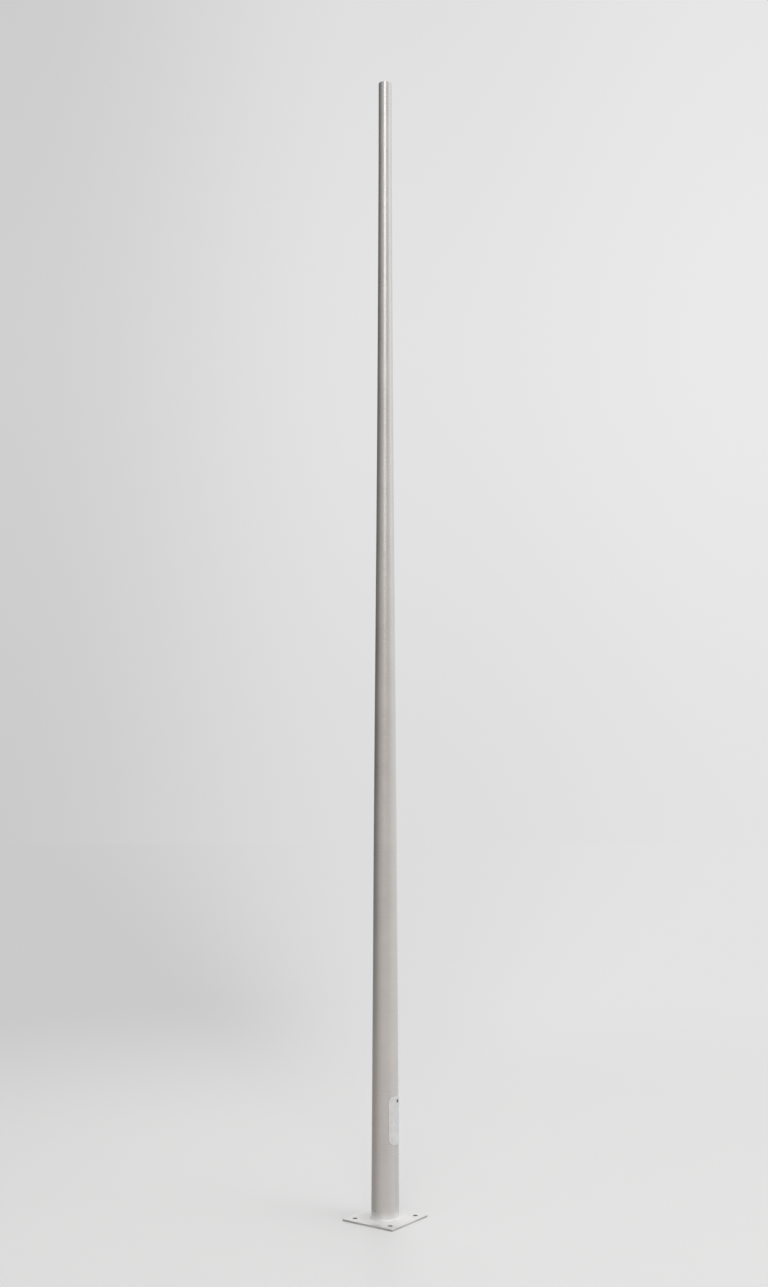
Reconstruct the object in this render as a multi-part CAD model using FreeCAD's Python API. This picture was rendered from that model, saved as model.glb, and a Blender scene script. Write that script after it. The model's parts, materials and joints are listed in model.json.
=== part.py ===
# Conical aluminium lamp post, 5 m tall, with a flanged foot, a service door and a fused cut-out.
#
# Row frame, millimetres: origin at the centre of the base plate's underside, +Z up, the plate's
# sides along X and Y. The service door and everything behind it are drawn facing -Y, and
# facing_door() then turns them by DOOR_TURN about the post's axis.
import FreeCAD, Part
import math
import os

Vec = FreeCAD.Vector
ALONG_X = Vec(1, 0, 0)
ALONG_Y = Vec(0, 1, 0)
ALONG_Z = Vec(0, 0, 1)

# ---- Shaft ----
HEIGHT = 5000.0  # underside of the plate to the open top
FOOT_R = 58.5  # outer radius where the shaft meets the ground plane
LOWER_TAPER = 0.00547  # radius lost per millimetre of height on the straight lower cone
LOWER_H = 1500.0  # the cone ends here and the gentle S-curve begins
SHOULDERS = [(2450.0, 43.3), (3500.0, 35.5), (4400.0, 31.2)]  # height and radius on the S-curve
TOP_R = 30.0  # straight spigot at the top, for a 60 mm luminaire socket
SPIGOT_H = 120.0
WALL = 3.5
RIM_CHAMFER = 1.0

# ---- Base plate ----
PLATE = 255.0
PLATE_T = 8.0
PLATE_CORNER = 3.0
PLATE_CHAMFER = 0.8
BOLT_SPACING = 180.0
BOLT_HOLE_R = 10.0
CABLE_HOLE_R = 45.0
WELD = 4.5

# ---- Service door and its frame ----
DOOR_TURN = 9.0  # the door's middle, about Z from -Y towards +X
DOOR_W = 85.0
DOOR_H = 200.0
DOOR_LOW = 305.0
DOOR_HIGH = DOOR_LOW + DOOR_H
DOOR_CORNER = 25.0
DOOR_GAP = 1.0  # all round, between the door and the shaft
DOOR_PROUD = 1.5
DOOR_T = 3.0
DOOR_EDGE = 1.2
FRAME_T = 3.0
FRAME_HALF_W = 50.0
FRAME_MARGIN = 19.0  # beyond the door, above and below
LEDGE = 6.0  # width of the frame's ledge behind the door's edge
SEAL_GAP = 0.35  # between the seal and the closed door
SEAL_INSET = 1.0

# ---- Hook on the door's lower edge ----
HOOK_HALF_W = 12.0
HOOK_T = 2.5
HOOK_FRONT = -46.9
HOOK_LOW = 299.0
HOOK_SHELF = 313.0
HOOK_TOP = 334.0

# ---- Lock ----
LOCK_Z = 483.0
LOCK_HEAD_R = 8.0
DOOR_FACE_R = FOOT_R - LOWER_TAPER * LOCK_Z + DOOR_PROUD  # the door's outer face at the lock
LOCK_HEAD_FRONT = -DOOR_FACE_R - 0.8
LOCK_SEAT = 0.2 - math.sqrt(DOOR_FACE_R**2 - LOCK_HEAD_R**2)  # flat spot face under the head
LOCK_BODY_R = 6.5
LOCK_BODY_BACK = -48.0
RECESS_R = 5.6
RECESS_BACK = LOCK_HEAD_FRONT + 3.8
KEY_FRONT = LOCK_HEAD_FRONT + 0.7
KEY_CORNER_R = 4.6
SPINDLE_R = 4.0
SPINDLE_PLAY = 0.05
NECK_R = 3.0
CAM_FRONT = -45.6
CAM_T = 2.5
CAM_HUB_R = 7.0
CAM_TIP_R = 5.5
CAM_REACH = 17.0
LOCK_NUT_FRONT = -53.4
LOCK_NUT_T = 3.5
LOCK_NUT_FLATS = 17.0

# ---- Equipment board and its brackets ----
BOARD_FRONT = 14.0
BOARD_T = 4.0
BOARD_BACK = BOARD_FRONT + BOARD_T
BOARD_HALF_W = 31.0
BOARD_LOW = 304.0
BOARD_HIGH = 498.0
BRACKET_T = 2.5
BRACKET_HALF_W = 26.0
BRACKET_H = 24.0
BRACKET_LEG = 20.0
LOWER_BRACKET_Z = 314.0
UPPER_BRACKET_Z = 486.0
BOARD_SCREWS = [(-15.0, 309.0), (15.0, 309.0), (-10.0, 492.0), (10.0, 492.0)]

# ---- Fused cut-out ----
CUTOUT_HALF_W = 28.0
CUTOUT_LOW = 336.0
CUTOUT_HIGH = 456.0
CUTOUT_FRONT = -4.0
CUTOUT_WALL = 3.0
CHAMBER_BACK = 10.0
TERMINAL_TOP = 386.0
FUSE_LOW = 396.0
FUSE_HIGH = 452.0
FUSE_HALF_W = 15.0
TERMINAL_X = [-15.0, 0.0, 15.0]
TERMINAL_Z = (346.0, 372.0)
TERMINAL_SCREW_Z = 351.0
CLIP_Z = [408.0, 436.0]
CARRIER_HALF_W = 14.0
CARRIER_Z = (398.0, 446.0)
CARRIER_FRONT = -22.0
GRIP_FRONT = -28.0
FUSE_Y = -6.5
FUSE_R = 5.0
CAP_T = 0.5
COVER_FRONT = -14.0
COVER_T = 2.0
COVER_TOP = 395.0
COVER_SCREW_Z = 391.0
CUTOUT_SCREWS = [(-21.5, 446.0), (21.5, 402.0)]

# ---- Cable glands ----
GLAND_Y = 3.0
GLAND_H = 16.0
GLAND_R = 6.5
NIPPLE_R = 4.5
# Each gland's x, the height of its wall's outer face, and 1 for upwards or -1 for downwards
GLANDS = [(-15.0, CUTOUT_LOW, -1), (15.0, CUTOUT_LOW, -1), (0.0, CUTOUT_HIGH, 1)]

# ---- Earthing ----
STUD_X = 17.0
STUD_Z = 480.0
STUD_R = 4.0
STUD_FRONT = -1.0
WASHER_R = 8.0
WASHER_T = 1.6
LUG_T = 1.5
LUG_SLANT = -45.0  # the lug's barrel points down and outwards
LUG_REACH = 21.0
LEAD_R = 2.0
LEAD_START = 13.0
EARTH_NUT_T = 6.5


# ---------------------------------------------------------------- shapes


def block(x_range, y_range, z_range):
    """Box between two limits on each axis."""
    corner = Vec(x_range[0], y_range[0], z_range[0])
    return Part.makeBox(x_range[1] - x_range[0], y_range[1] - y_range[0], z_range[1] - z_range[0], corner)


def rod(radius, start, along):
    """Round bar from start, as long as the vector along."""
    return Part.makeCylinder(radius, along.Length, start, along)


def bar_y(radius, x, z, front, back):
    """Round bar along Y between two depths."""
    return rod(radius, Vec(x, front, z), ALONG_Y * (back - front))


def polygon_bar(sides, corner_r, start, along):
    """Regular bar from start, as long as the vector along, which lies on Y or Z."""
    across = along.cross(ALONG_X)
    across.normalize()
    corners = []
    for index in range(sides + 1):
        turn = 2 * math.pi * index / sides
        corners.append(start + ALONG_X * (corner_r * math.cos(turn)) + across * (corner_r * math.sin(turn)))
    return Part.Face(Part.makePolygon(corners)).extrude(along)


def hexagon(flats, start, along):
    """Hexagonal bar with a given distance across its flats."""
    return polygon_bar(6, flats / math.sqrt(3), start, along)


def group(shapes):
    """One node made of separate solids."""
    return Part.makeCompound(shapes)


def lower_radius(height, inset=0.0):
    """Radius of the straight lower cone, measured in from the shaft's outer face."""
    return FOOT_R - LOWER_TAPER * height - inset


def cone(inset, low, high):
    """Solid cone inside the shaft's lower part."""
    return Part.makeCone(lower_radius(low, inset), lower_radius(high, inset), high - low, Vec(0, 0, low))


def curved_sheet(outer_inset, inner_inset, low, high):
    """Full ring of the shaft's curvature between two depths below its outer face."""
    return cone(outer_inset, low, high).cut(cone(inner_inset, low, high))


def door_prism(width, low, high, corner):
    """Rounded rectangle seen from the front, run back to the post's axis."""
    plain = block((-width / 2, width / 2), (-FOOT_R - 10, -5), (low, high))
    upright = [edge for edge in plain.Edges if abs(edge.tangentAt(0).y) > 0.9]
    return plain.makeFillet(corner, upright)


def facing_door(shape):
    """The shape turned from -Y to the door's own direction."""
    turned = shape.copy()
    turned.rotate(Vec(0, 0, 0), ALONG_Z, DOOR_TURN)
    return turned


def slotted_screw(x, z, face, head, shank, slot=1.0):
    """Screw along Y with its head's back on face; head and shank are (radius, length)."""
    body = bar_y(head[0], x, z, face - head[1], face)
    body = body.fuse(bar_y(shank[0], x, z, face, face + shank[1]))
    groove = block((x - head[0] - 1, x + head[0] + 1), (face - head[1] - 1, face - head[1] / 2),
                   (z - slot / 2, z + slot / 2))
    return body.cut(groove).removeSplitter()


def rounded_path(points):
    """Straight runs joined by tangent arcs, as large as the shorter run beside each corner allows."""
    edges = []
    start = points[0]
    for before, corner, after in zip(points, points[1:], points[2:]):
        arriving = corner - before
        leaving = after - corner
        half_turn = arriving.getAngle(leaving) / 2
        setback = 0.45 * min(arriving.Length, leaving.Length)
        print("bend radius", round(setback / math.tan(half_turn), 1))
        arriving.normalize()
        leaving.normalize()
        first = corner - arriving * setback
        last = corner + leaving * setback
        inward = leaving - arriving
        inward.normalize()
        radius = setback / math.tan(half_turn)
        middle = corner + inward * (radius / math.cos(half_turn) - radius)
        edges.append(Part.LineSegment(start, first).toShape())
        edges.append(Part.Arc(first, middle, last).toShape())
        start = last
    edges.append(Part.LineSegment(start, points[-1]).toShape())
    return Part.Wire(edges)


# ---------------------------------------------------------------- post


def shaft_outline(inset, low):
    """Edges of the shaft's profile from low up to the spigot's end, in the XZ plane."""
    foot = Vec(lower_radius(low, inset), 0, low)
    waist = Vec(lower_radius(LOWER_H, inset), 0, LOWER_H)
    neck = Vec(TOP_R - inset, 0, HEIGHT - SPIGOT_H)
    through = [waist] + [Vec(radius - inset, 0, height) for height, radius in SHOULDERS] + [neck]
    sweep = Part.BSplineCurve()
    sweep.interpolate(Points=through, InitialTangent=waist - foot, FinalTangent=ALONG_Z)
    return [Part.LineSegment(foot, waist).toShape(), sweep.toShape()], foot, neck


def shaft():
    """Hollow tapered tube with the opening for the service door."""
    outer_edges, outer_foot, outer_neck = shaft_outline(0.0, PLATE_T)
    inner_edges, inner_foot, inner_neck = shaft_outline(WALL, PLATE_T)
    below_rim = Vec(TOP_R, 0, HEIGHT - RIM_CHAMFER)
    rim = Vec(TOP_R - RIM_CHAMFER, 0, HEIGHT)
    inner_rim = Vec(TOP_R - WALL, 0, HEIGHT)
    corners = [outer_neck, below_rim, rim, inner_rim, inner_neck]
    top_edges = [Part.makeLine(first, last) for first, last in zip(corners, corners[1:])]
    foot_edge = Part.makeLine(inner_foot, outer_foot)
    loop = Part.Wire(Part.__sortEdges__(outer_edges + top_edges + inner_edges + [foot_edge]))
    tube = Part.Face(loop).revolve(Vec(0, 0, 0), ALONG_Z, 360)
    opening = door_prism(DOOR_W + 2 * DOOR_GAP, DOOR_LOW - DOOR_GAP, DOOR_HIGH + DOOR_GAP,
                         DOOR_CORNER + DOOR_GAP)
    return tube.cut(facing_door(opening))


def base_plate():
    """Square flange with four anchor-bolt holes and the cable hole."""
    half = PLATE / 2
    plate = block((-half, half), (-half, half), (0, PLATE_T))
    upright = [edge for edge in plate.Edges if abs(edge.tangentAt(0).z) > 0.9]
    plate = plate.makeFillet(PLATE_CORNER, upright)
    top_edges = [edge for edge in plate.Edges if edge.BoundBox.ZMin > PLATE_T - 0.1]
    plate = plate.makeChamfer(PLATE_CHAMFER, top_edges)
    for x in (-BOLT_SPACING / 2, BOLT_SPACING / 2):
        for y in (-BOLT_SPACING / 2, BOLT_SPACING / 2):
            plate = plate.cut(rod(BOLT_HOLE_R, Vec(x, y, 0), ALONG_Z * PLATE_T))
    return plate.cut(rod(CABLE_HOLE_R, Vec(0, 0, 0), ALONG_Z * PLATE_T))


def base_weld():
    """Fillet weld all round the shaft's foot, slightly hollow on its face."""
    inner = Vec(lower_radius(PLATE_T), 0, PLATE_T)
    top = Vec(lower_radius(PLATE_T + WELD), 0, PLATE_T + WELD)
    toe = Vec(lower_radius(PLATE_T) + WELD, 0, PLATE_T)
    throat = inner + Vec(WELD * 0.4, 0, WELD * 0.4)
    face = Part.Arc(top, throat, toe).toShape()
    loop = Part.Wire([Part.makeLine(inner, top), face, Part.makeLine(toe, inner)])
    return Part.Face(loop).revolve(Vec(0, 0, 0), ALONG_Z, 360)


def door_frame():
    """Curved stiffening frame welded inside the shaft, with a window a ledge smaller than the door."""
    low = DOOR_LOW - FRAME_MARGIN
    high = DOOR_HIGH + FRAME_MARGIN
    sheet = curved_sheet(WALL, WALL + FRAME_T, low, high)
    sheet = sheet.common(block((-FRAME_HALF_W, FRAME_HALF_W), (-FOOT_R, -5), (low, high)))
    return facing_door(sheet.cut(window()))


def window():
    """The way through the frame."""
    return door_prism(DOOR_W - 2 * LEDGE, DOOR_LOW + LEDGE, DOOR_HIGH - LEDGE, DOOR_CORNER - LEDGE)


def door_gasket():
    """Foam seal on the frame's ledge."""
    sheet = curved_sheet(DOOR_T - DOOR_PROUD + SEAL_GAP, WALL, DOOR_LOW, DOOR_HIGH)
    outline = door_prism(DOOR_W - 2 * SEAL_INSET, DOOR_LOW + SEAL_INSET, DOOR_HIGH - SEAL_INSET,
                         DOOR_CORNER - SEAL_INSET)
    return facing_door(sheet.common(outline).cut(window()))


# ---------------------------------------------------------------- door and lock


def door():
    """Curved cover with rounded corners, eased outer edges and the lock's spot face."""
    sheet = curved_sheet(-DOOR_PROUD, DOOR_T - DOOR_PROUD, DOOR_LOW - 1, DOOR_HIGH + 1)
    panel = sheet.common(door_prism(DOOR_W, DOOR_LOW, DOOR_HIGH, DOOR_CORNER))
    rim = [edge for edge in panel.Edges if on_outer_face(edge)]
    panel = panel.makeFillet(DOOR_EDGE, rim)
    panel = panel.cut(bar_y(LOCK_HEAD_R, 0, LOCK_Z, -FOOT_R - 5, LOCK_SEAT))
    return facing_door(panel.cut(bar_y(LOCK_BODY_R, 0, LOCK_Z, LOCK_SEAT, LOCK_BODY_BACK)))


def on_outer_face(edge):
    """True for an edge that lies all along on the door's outer cone."""
    for share in (0.0, 0.5, 1.0):
        first, last = edge.ParameterRange
        point = edge.valueAt(first + share * (last - first))
        if abs(math.hypot(point.x, point.y) - lower_radius(point.z, -DOOR_PROUD)) > 0.01:
            return False
    return True


def door_hook():
    """Cranked tongue behind the door's lower edge, which drops behind the frame."""
    span = (-HOOK_HALF_W, HOOK_HALF_W)
    back = HOOK_FRONT + HOOK_T
    pad_back = -51.0
    pad = block(span, (-FOOT_R, pad_back), (HOOK_SHELF, HOOK_TOP))
    shelf = block(span, (-FOOT_R, back), (HOOK_SHELF, HOOK_SHELF + HOOK_T))
    tongue = block(span, (HOOK_FRONT, back), (HOOK_LOW, HOOK_SHELF + HOOK_T))
    shape = pad.fuse(shelf).fuse(tongue).removeSplitter()
    inside_door = cone(DOOR_T - DOOR_PROUD, HOOK_LOW - 1, HOOK_TOP + 1)
    return facing_door(shape.common(inside_door))


def lock_barrel():
    """Flanged barrel through the door, with a key recess and the spindle's bore."""
    body = bar_y(LOCK_HEAD_R, 0, LOCK_Z, LOCK_HEAD_FRONT, LOCK_SEAT)
    body = body.fuse(bar_y(LOCK_BODY_R, 0, LOCK_Z, LOCK_SEAT, LOCK_BODY_BACK)).removeSplitter()
    rim = [edge for edge in body.Edges if abs(edge.BoundBox.YMax - LOCK_HEAD_FRONT) < 0.01]
    body = body.makeFillet(0.6, rim)
    body = body.cut(bar_y(RECESS_R, 0, LOCK_Z, LOCK_HEAD_FRONT, RECESS_BACK))
    bore = bar_y(SPINDLE_R + SPINDLE_PLAY, 0, LOCK_Z, RECESS_BACK, LOCK_BODY_BACK)
    return facing_door(body.cut(bore))


def lock_barrel_nut():
    """Thin nut that clamps the barrel to the door."""
    start = Vec(0, LOCK_NUT_FRONT, LOCK_Z)
    nut = hexagon(LOCK_NUT_FLATS, start, ALONG_Y * LOCK_NUT_T)
    return facing_door(nut.cut(rod(LOCK_BODY_R, start, ALONG_Y * LOCK_NUT_T)))


def lock_spindle():
    """Turning spindle with a triangular key head, and a neck for the cam."""
    head = polygon_bar(3, KEY_CORNER_R, Vec(0, KEY_FRONT, LOCK_Z), ALONG_Y * (RECESS_BACK - KEY_FRONT))
    stem = bar_y(SPINDLE_R, 0, LOCK_Z, RECESS_BACK, CAM_FRONT)
    neck = bar_y(NECK_R, 0, LOCK_Z, CAM_FRONT, CAM_FRONT + CAM_T)
    shape = head.fuse(stem).fuse(neck)
    return facing_door(shape.cut(cam_screw_shank()))


def lock_cam():
    """Latch arm, at rest lying sideways in the frame's window."""
    hub = bar_y(CAM_HUB_R, 0, LOCK_Z, CAM_FRONT, CAM_FRONT + CAM_T)
    tip = bar_y(CAM_TIP_R, CAM_REACH, LOCK_Z, CAM_FRONT, CAM_FRONT + CAM_T)
    arm = block((0, CAM_REACH), (CAM_FRONT, CAM_FRONT + CAM_T), (LOCK_Z - CAM_TIP_R, LOCK_Z + CAM_TIP_R))
    shape = hub.fuse(tip).fuse(arm).removeSplitter()
    return facing_door(shape.cut(bar_y(NECK_R, 0, LOCK_Z, CAM_FRONT, CAM_FRONT + CAM_T)))


def cam_screw_shank():
    """Threaded part of the screw that holds the cam."""
    return bar_y(1.5, 0, LOCK_Z, CAM_FRONT - 3, CAM_FRONT + CAM_T)


def cam_screw():
    """Screw with a wide head on the spindle's end."""
    face = CAM_FRONT + CAM_T
    head = bar_y(4.5, 0, LOCK_Z, face, face + 2.2)
    head = head.cut(block((-5, 5), (face + 1.2, face + 3), (LOCK_Z - 0.5, LOCK_Z + 0.5)))
    return facing_door(head.fuse(cam_screw_shank()))


# ---------------------------------------------------------------- board


def bracket(centre_z):
    """Top-hat bracket from the shaft's rear wall to the board."""
    height = (centre_z - BRACKET_H / 2, centre_z + BRACKET_H / 2)
    face = BOARD_BACK + BRACKET_T
    shape = block((-BRACKET_HALF_W, BRACKET_HALF_W), (BOARD_BACK, face), height)
    for side in (-1, 1):
        leg_x = sorted((side * BRACKET_LEG, side * (BRACKET_LEG + BRACKET_T)))
        shape = shape.fuse(block(leg_x, (face, FOOT_R), height))
    shape = shape.common(cone(WALL, height[0], height[1])).removeSplitter()
    for x, z in BOARD_SCREWS:
        if height[0] < z < height[1]:
            shape = shape.cut(bar_y(2.5, x, z, BOARD_BACK, face))
    return shape


def board_bracket_lower():
    """Lower bracket."""
    return facing_door(bracket(LOWER_BRACKET_Z))


def board_bracket_upper():
    """Upper bracket, which also carries the earth stud."""
    hole = bar_y(STUD_R, STUD_X, STUD_Z, BOARD_BACK, BOARD_BACK + BRACKET_T)
    return facing_door(bracket(UPPER_BRACKET_Z).cut(hole))


def equipment_board():
    """Flat insulating board that the electrical gear is screwed to."""
    board = block((-BOARD_HALF_W, BOARD_HALF_W), (BOARD_FRONT, BOARD_BACK), (BOARD_LOW, BOARD_HIGH))
    along_y = [edge for edge in board.Edges if abs(edge.tangentAt(0).y) > 0.9]
    board = board.makeFillet(4.0, along_y)
    for x, z in BOARD_SCREWS:
        board = board.cut(bar_y(2.5, x, z, BOARD_FRONT, BOARD_BACK))
    for x, z in CUTOUT_SCREWS:
        board = board.cut(bar_y(2.0, x, z, BOARD_FRONT, BOARD_BACK))
    return facing_door(board.cut(bar_y(STUD_R + 0.5, STUD_X, STUD_Z, BOARD_FRONT, BOARD_BACK)))


def board_screws():
    """Four screws through the board into the brackets."""
    length = BOARD_T + BRACKET_T + 2
    return facing_door(group([slotted_screw(x, z, BOARD_FRONT, (4.2, 2.4), (2.5, length))
                              for x, z in BOARD_SCREWS]))


# ---------------------------------------------------------------- cut-out


def gland_hole(x, wall_face, outward):
    """Hole for a gland's nipple through the cut-out's end wall."""
    return rod(NIPPLE_R, Vec(x, GLAND_Y, wall_face), ALONG_Z * (-outward * 2 * CUTOUT_WALL))


def cutout_base():
    """Moulded base with a terminal chamber below and a fuse chamber above."""
    body = block((-CUTOUT_HALF_W, CUTOUT_HALF_W), (CUTOUT_FRONT, BOARD_FRONT), (CUTOUT_LOW, CUTOUT_HIGH))
    upright = [edge for edge in body.Edges if abs(edge.tangentAt(0).y) > 0.9]
    body = body.makeFillet(2.5, upright)
    inner = CUTOUT_HALF_W - CUTOUT_WALL
    body = body.cut(block((-inner, inner), (CUTOUT_FRONT, CHAMBER_BACK),
                          (CUTOUT_LOW + CUTOUT_WALL, TERMINAL_TOP)))
    body = body.cut(block((-FUSE_HALF_W, FUSE_HALF_W), (CUTOUT_FRONT, CHAMBER_BACK), (FUSE_LOW, FUSE_HIGH)))
    for gland in GLANDS:
        body = body.cut(gland_hole(*gland))
    for x, z in CUTOUT_SCREWS:
        body = body.cut(bar_y(4.5, x, z, CUTOUT_FRONT, 6))
        body = body.cut(bar_y(2.0, x, z, 6, BOARD_FRONT))
    return facing_door(body.cut(bar_y(1.6, 0, COVER_SCREW_Z, CUTOUT_FRONT, 8)))


def cutout_screws():
    """Two screws that hold the cut-out to the board."""
    length = BOARD_BACK - 6
    return facing_door(group([slotted_screw(x, z, 6, (3.8, 2.4), (2.0, length)) for x, z in CUTOUT_SCREWS]))


def terminals():
    """Three brass tunnel terminals with a wire hole from below and a screw hole in front."""
    blocks = []
    for x in TERMINAL_X:
        brass = block((x - 4.5, x + 4.5), (-2, CHAMBER_BACK), TERMINAL_Z)
        brass = brass.cut(rod(LEAD_R, Vec(x, GLAND_Y, TERMINAL_Z[0]), ALONG_Z * 12))
        blocks.append(brass.cut(bar_y(2.5, x, TERMINAL_SCREW_Z, -2, GLAND_Y)))
    return facing_door(group(blocks))


def terminal_screws():
    """One clamping screw in each terminal."""
    back = GLAND_Y - LEAD_R
    screws = []
    for x in TERMINAL_X:
        screw = bar_y(2.5, x, TERMINAL_SCREW_Z, -3, back)
        groove = block((x - 3, x + 3), (-4, -2), (TERMINAL_SCREW_Z - 0.4, TERMINAL_SCREW_Z + 0.4))
        screws.append(screw.cut(groove))
    return facing_door(group(screws))


def fuse_clips():
    """Two fixed contacts, each a pad with a pair of leaves that grip a blade."""
    clips = []
    for z in CLIP_Z:
        height = (z - 4, z + 4)
        pad = block((-6, 6), (CHAMBER_BACK - 1.2, CHAMBER_BACK), height)
        left = block((-2.3, -1.1), (2, CHAMBER_BACK - 1.2), height)
        right = block((1.1, 2.3), (2, CHAMBER_BACK - 1.2), height)
        clips.append(pad.fuse(left).fuse(right).removeSplitter())
    return facing_door(group(clips))


def fuse_carrier():
    """Pull-out handle that holds the fuse in a pocket at its back."""
    body = block((-CARRIER_HALF_W, CARRIER_HALF_W), (CARRIER_FRONT, 0), CARRIER_Z)
    front_edges = [edge for edge in body.Edges if edge.BoundBox.YMax < CARRIER_FRONT + 0.1]
    body = body.makeFillet(2.0, front_edges)
    grip = block((-4, 4), (GRIP_FRONT, CARRIER_FRONT), (CARRIER_Z[0] + 9, CARRIER_Z[1] - 9))
    grip = grip.makeFillet(1.5, [edge for edge in grip.Edges if edge.BoundBox.YMax < CARRIER_FRONT - 1])
    body = body.fuse(grip).removeSplitter()
    return facing_door(body.cut(block((-7, 7), (-13, 0), (CARRIER_Z[0] + 3, CARRIER_Z[1] - 3))))


def carrier_blades():
    """Two contact blades with saddles that bear on the fuse's end caps."""
    blades = []
    for z in CLIP_Z:
        height = (z - 4, z + 4)
        saddle = block((-7, 7), (FUSE_Y + FUSE_R, 0), height)
        blades.append(saddle.fuse(block((-1, 1), (0, 8), height)).removeSplitter())
    return facing_door(group(blades))


def fuse_span():
    """Lowest and highest point of the fuse."""
    middle = sum(CARRIER_Z) / 2
    return middle - 19, middle + 19


def fuse_barrel():
    """Ceramic body of the cartridge fuse."""
    low, high = fuse_span()
    return facing_door(rod(FUSE_R - CAP_T, Vec(0, FUSE_Y, low + CAP_T), ALONG_Z * (high - low - 2 * CAP_T)))


def fuse_caps():
    """Metal cap on each end of the fuse."""
    low, high = fuse_span()
    length = 9.0
    lower = rod(FUSE_R, Vec(0, FUSE_Y, low), ALONG_Z * length)
    upper = rod(FUSE_R, Vec(0, FUSE_Y, high - length), ALONG_Z * length)
    core = rod(FUSE_R - CAP_T, Vec(0, FUSE_Y, low + CAP_T), ALONG_Z * (high - low - 2 * CAP_T))
    return facing_door(group([lower.cut(core), upper.cut(core)]))


def terminal_cover():
    """Cover over the terminals, with a boss for its screw."""
    outer = block((-CUTOUT_HALF_W, CUTOUT_HALF_W), (COVER_FRONT, CUTOUT_FRONT), (CUTOUT_LOW, COVER_TOP))
    front_edges = [edge for edge in outer.Edges if edge.BoundBox.YMax < COVER_FRONT + 0.1]
    outer = outer.makeFillet(1.5, front_edges)
    inner = CUTOUT_HALF_W - COVER_T
    hollow = block((-inner, inner), (COVER_FRONT + COVER_T, CUTOUT_FRONT),
                   (CUTOUT_LOW + COVER_T, COVER_TOP - COVER_T))
    boss = block((-5, 5), (COVER_FRONT + COVER_T, CUTOUT_FRONT), (TERMINAL_TOP, COVER_TOP - COVER_T))
    shape = outer.cut(hollow).fuse(boss).removeSplitter()
    return facing_door(shape.cut(bar_y(1.6, 0, COVER_SCREW_Z, COVER_FRONT, CUTOUT_FRONT)))


def cover_screw():
    """Screw that holds the terminal cover."""
    return facing_door(slotted_screw(0, COVER_SCREW_Z, COVER_FRONT, (3.2, 2.0), (1.6, 22.0 - 4.0)))


def cable_glands():
    """Two glands below and one above, each a ribbed body with a nipple through the wall."""
    glands = []
    for x, wall_face, outward in GLANDS:
        start = Vec(x, GLAND_Y, wall_face)
        body = rod(GLAND_R, start, ALONG_Z * (outward * GLAND_H))
        body = body.fuse(hexagon(14.0, start + ALONG_Z * (outward * 3), ALONG_Z * (outward * 7)))
        body = body.fuse(rod(NIPPLE_R, start, ALONG_Z * (-outward * 7)))
        bore = rod(LEAD_R, start + ALONG_Z * (outward * GLAND_H), ALONG_Z * (-outward * (GLAND_H + 7)))
        glands.append(body.cut(bore).removeSplitter())
    return facing_door(group(glands))


def gland_nuts():
    """Lock nut on each gland's nipple, inside the cut-out."""
    nuts = []
    for x, wall_face, outward in GLANDS:
        wall = CUTOUT_WALL if outward < 0 else CUTOUT_HIGH - FUSE_HIGH
        start = Vec(x, GLAND_Y, wall_face - outward * wall)
        length = ALONG_Z * (-outward * 2.8)
        nuts.append(hexagon(12.0, start, length).cut(rod(NIPPLE_R, start, length)))
    return facing_door(group(nuts))


# ---------------------------------------------------------------- earthing


def earth_stud():
    """Threaded stud fixed in the upper bracket."""
    return facing_door(bar_y(STUD_R, STUD_X, STUD_Z, STUD_FRONT, BOARD_BACK + BRACKET_T))


def earth_washers():
    """Washer on each side of the lug."""
    washers = []
    for back in (BOARD_FRONT, BOARD_FRONT - WASHER_T - LUG_T):
        disc = bar_y(WASHER_R, STUD_X, STUD_Z, back - WASHER_T, back)
        washers.append(disc.cut(bar_y(STUD_R, STUD_X, STUD_Z, back - WASHER_T, back)))
    return facing_door(group(washers))


def earth_nut():
    """Nut that clamps the lug."""
    back = BOARD_FRONT - 2 * WASHER_T - LUG_T
    start = Vec(STUD_X, back - EARTH_NUT_T, STUD_Z)
    nut = hexagon(13.0, start, ALONG_Y * EARTH_NUT_T)
    return facing_door(nut.cut(rod(STUD_R, start, ALONG_Y * EARTH_NUT_T)))


def lug_direction():
    """The way the lug's barrel points, in the XZ plane."""
    return Vec(math.cos(math.radians(LUG_SLANT)), 0, math.sin(math.radians(LUG_SLANT)))


def lug_axis_y():
    """Depth of the lug's barrel axis, which is flush with the front of its palm."""
    return BOARD_FRONT - WASHER_T - LUG_T


def earth_lug():
    """Crimped ring lug."""
    back = BOARD_FRONT - WASHER_T
    front = back - LUG_T
    palm = bar_y(WASHER_R - 0.5, STUD_X, STUD_Z, front, back)
    neck = block((0, 12), (front, back), (-3, 3))
    neck.rotate(Vec(0, 0, 0), ALONG_Y, -LUG_SLANT)
    neck.translate(Vec(STUD_X, 0, STUD_Z))
    centre = Vec(STUD_X, lug_axis_y(), STUD_Z)
    barrel = rod(3.0, centre + lug_direction() * 9, lug_direction() * (LUG_REACH - 9))
    shape = palm.fuse(neck).fuse(barrel).cut(bar_y(STUD_R, STUD_X, STUD_Z, front, back))
    socket = rod(LEAD_R, centre + lug_direction() * LEAD_START, lug_direction() * (LUG_REACH - LEAD_START))
    return facing_door(shape.cut(socket).removeSplitter())


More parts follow.
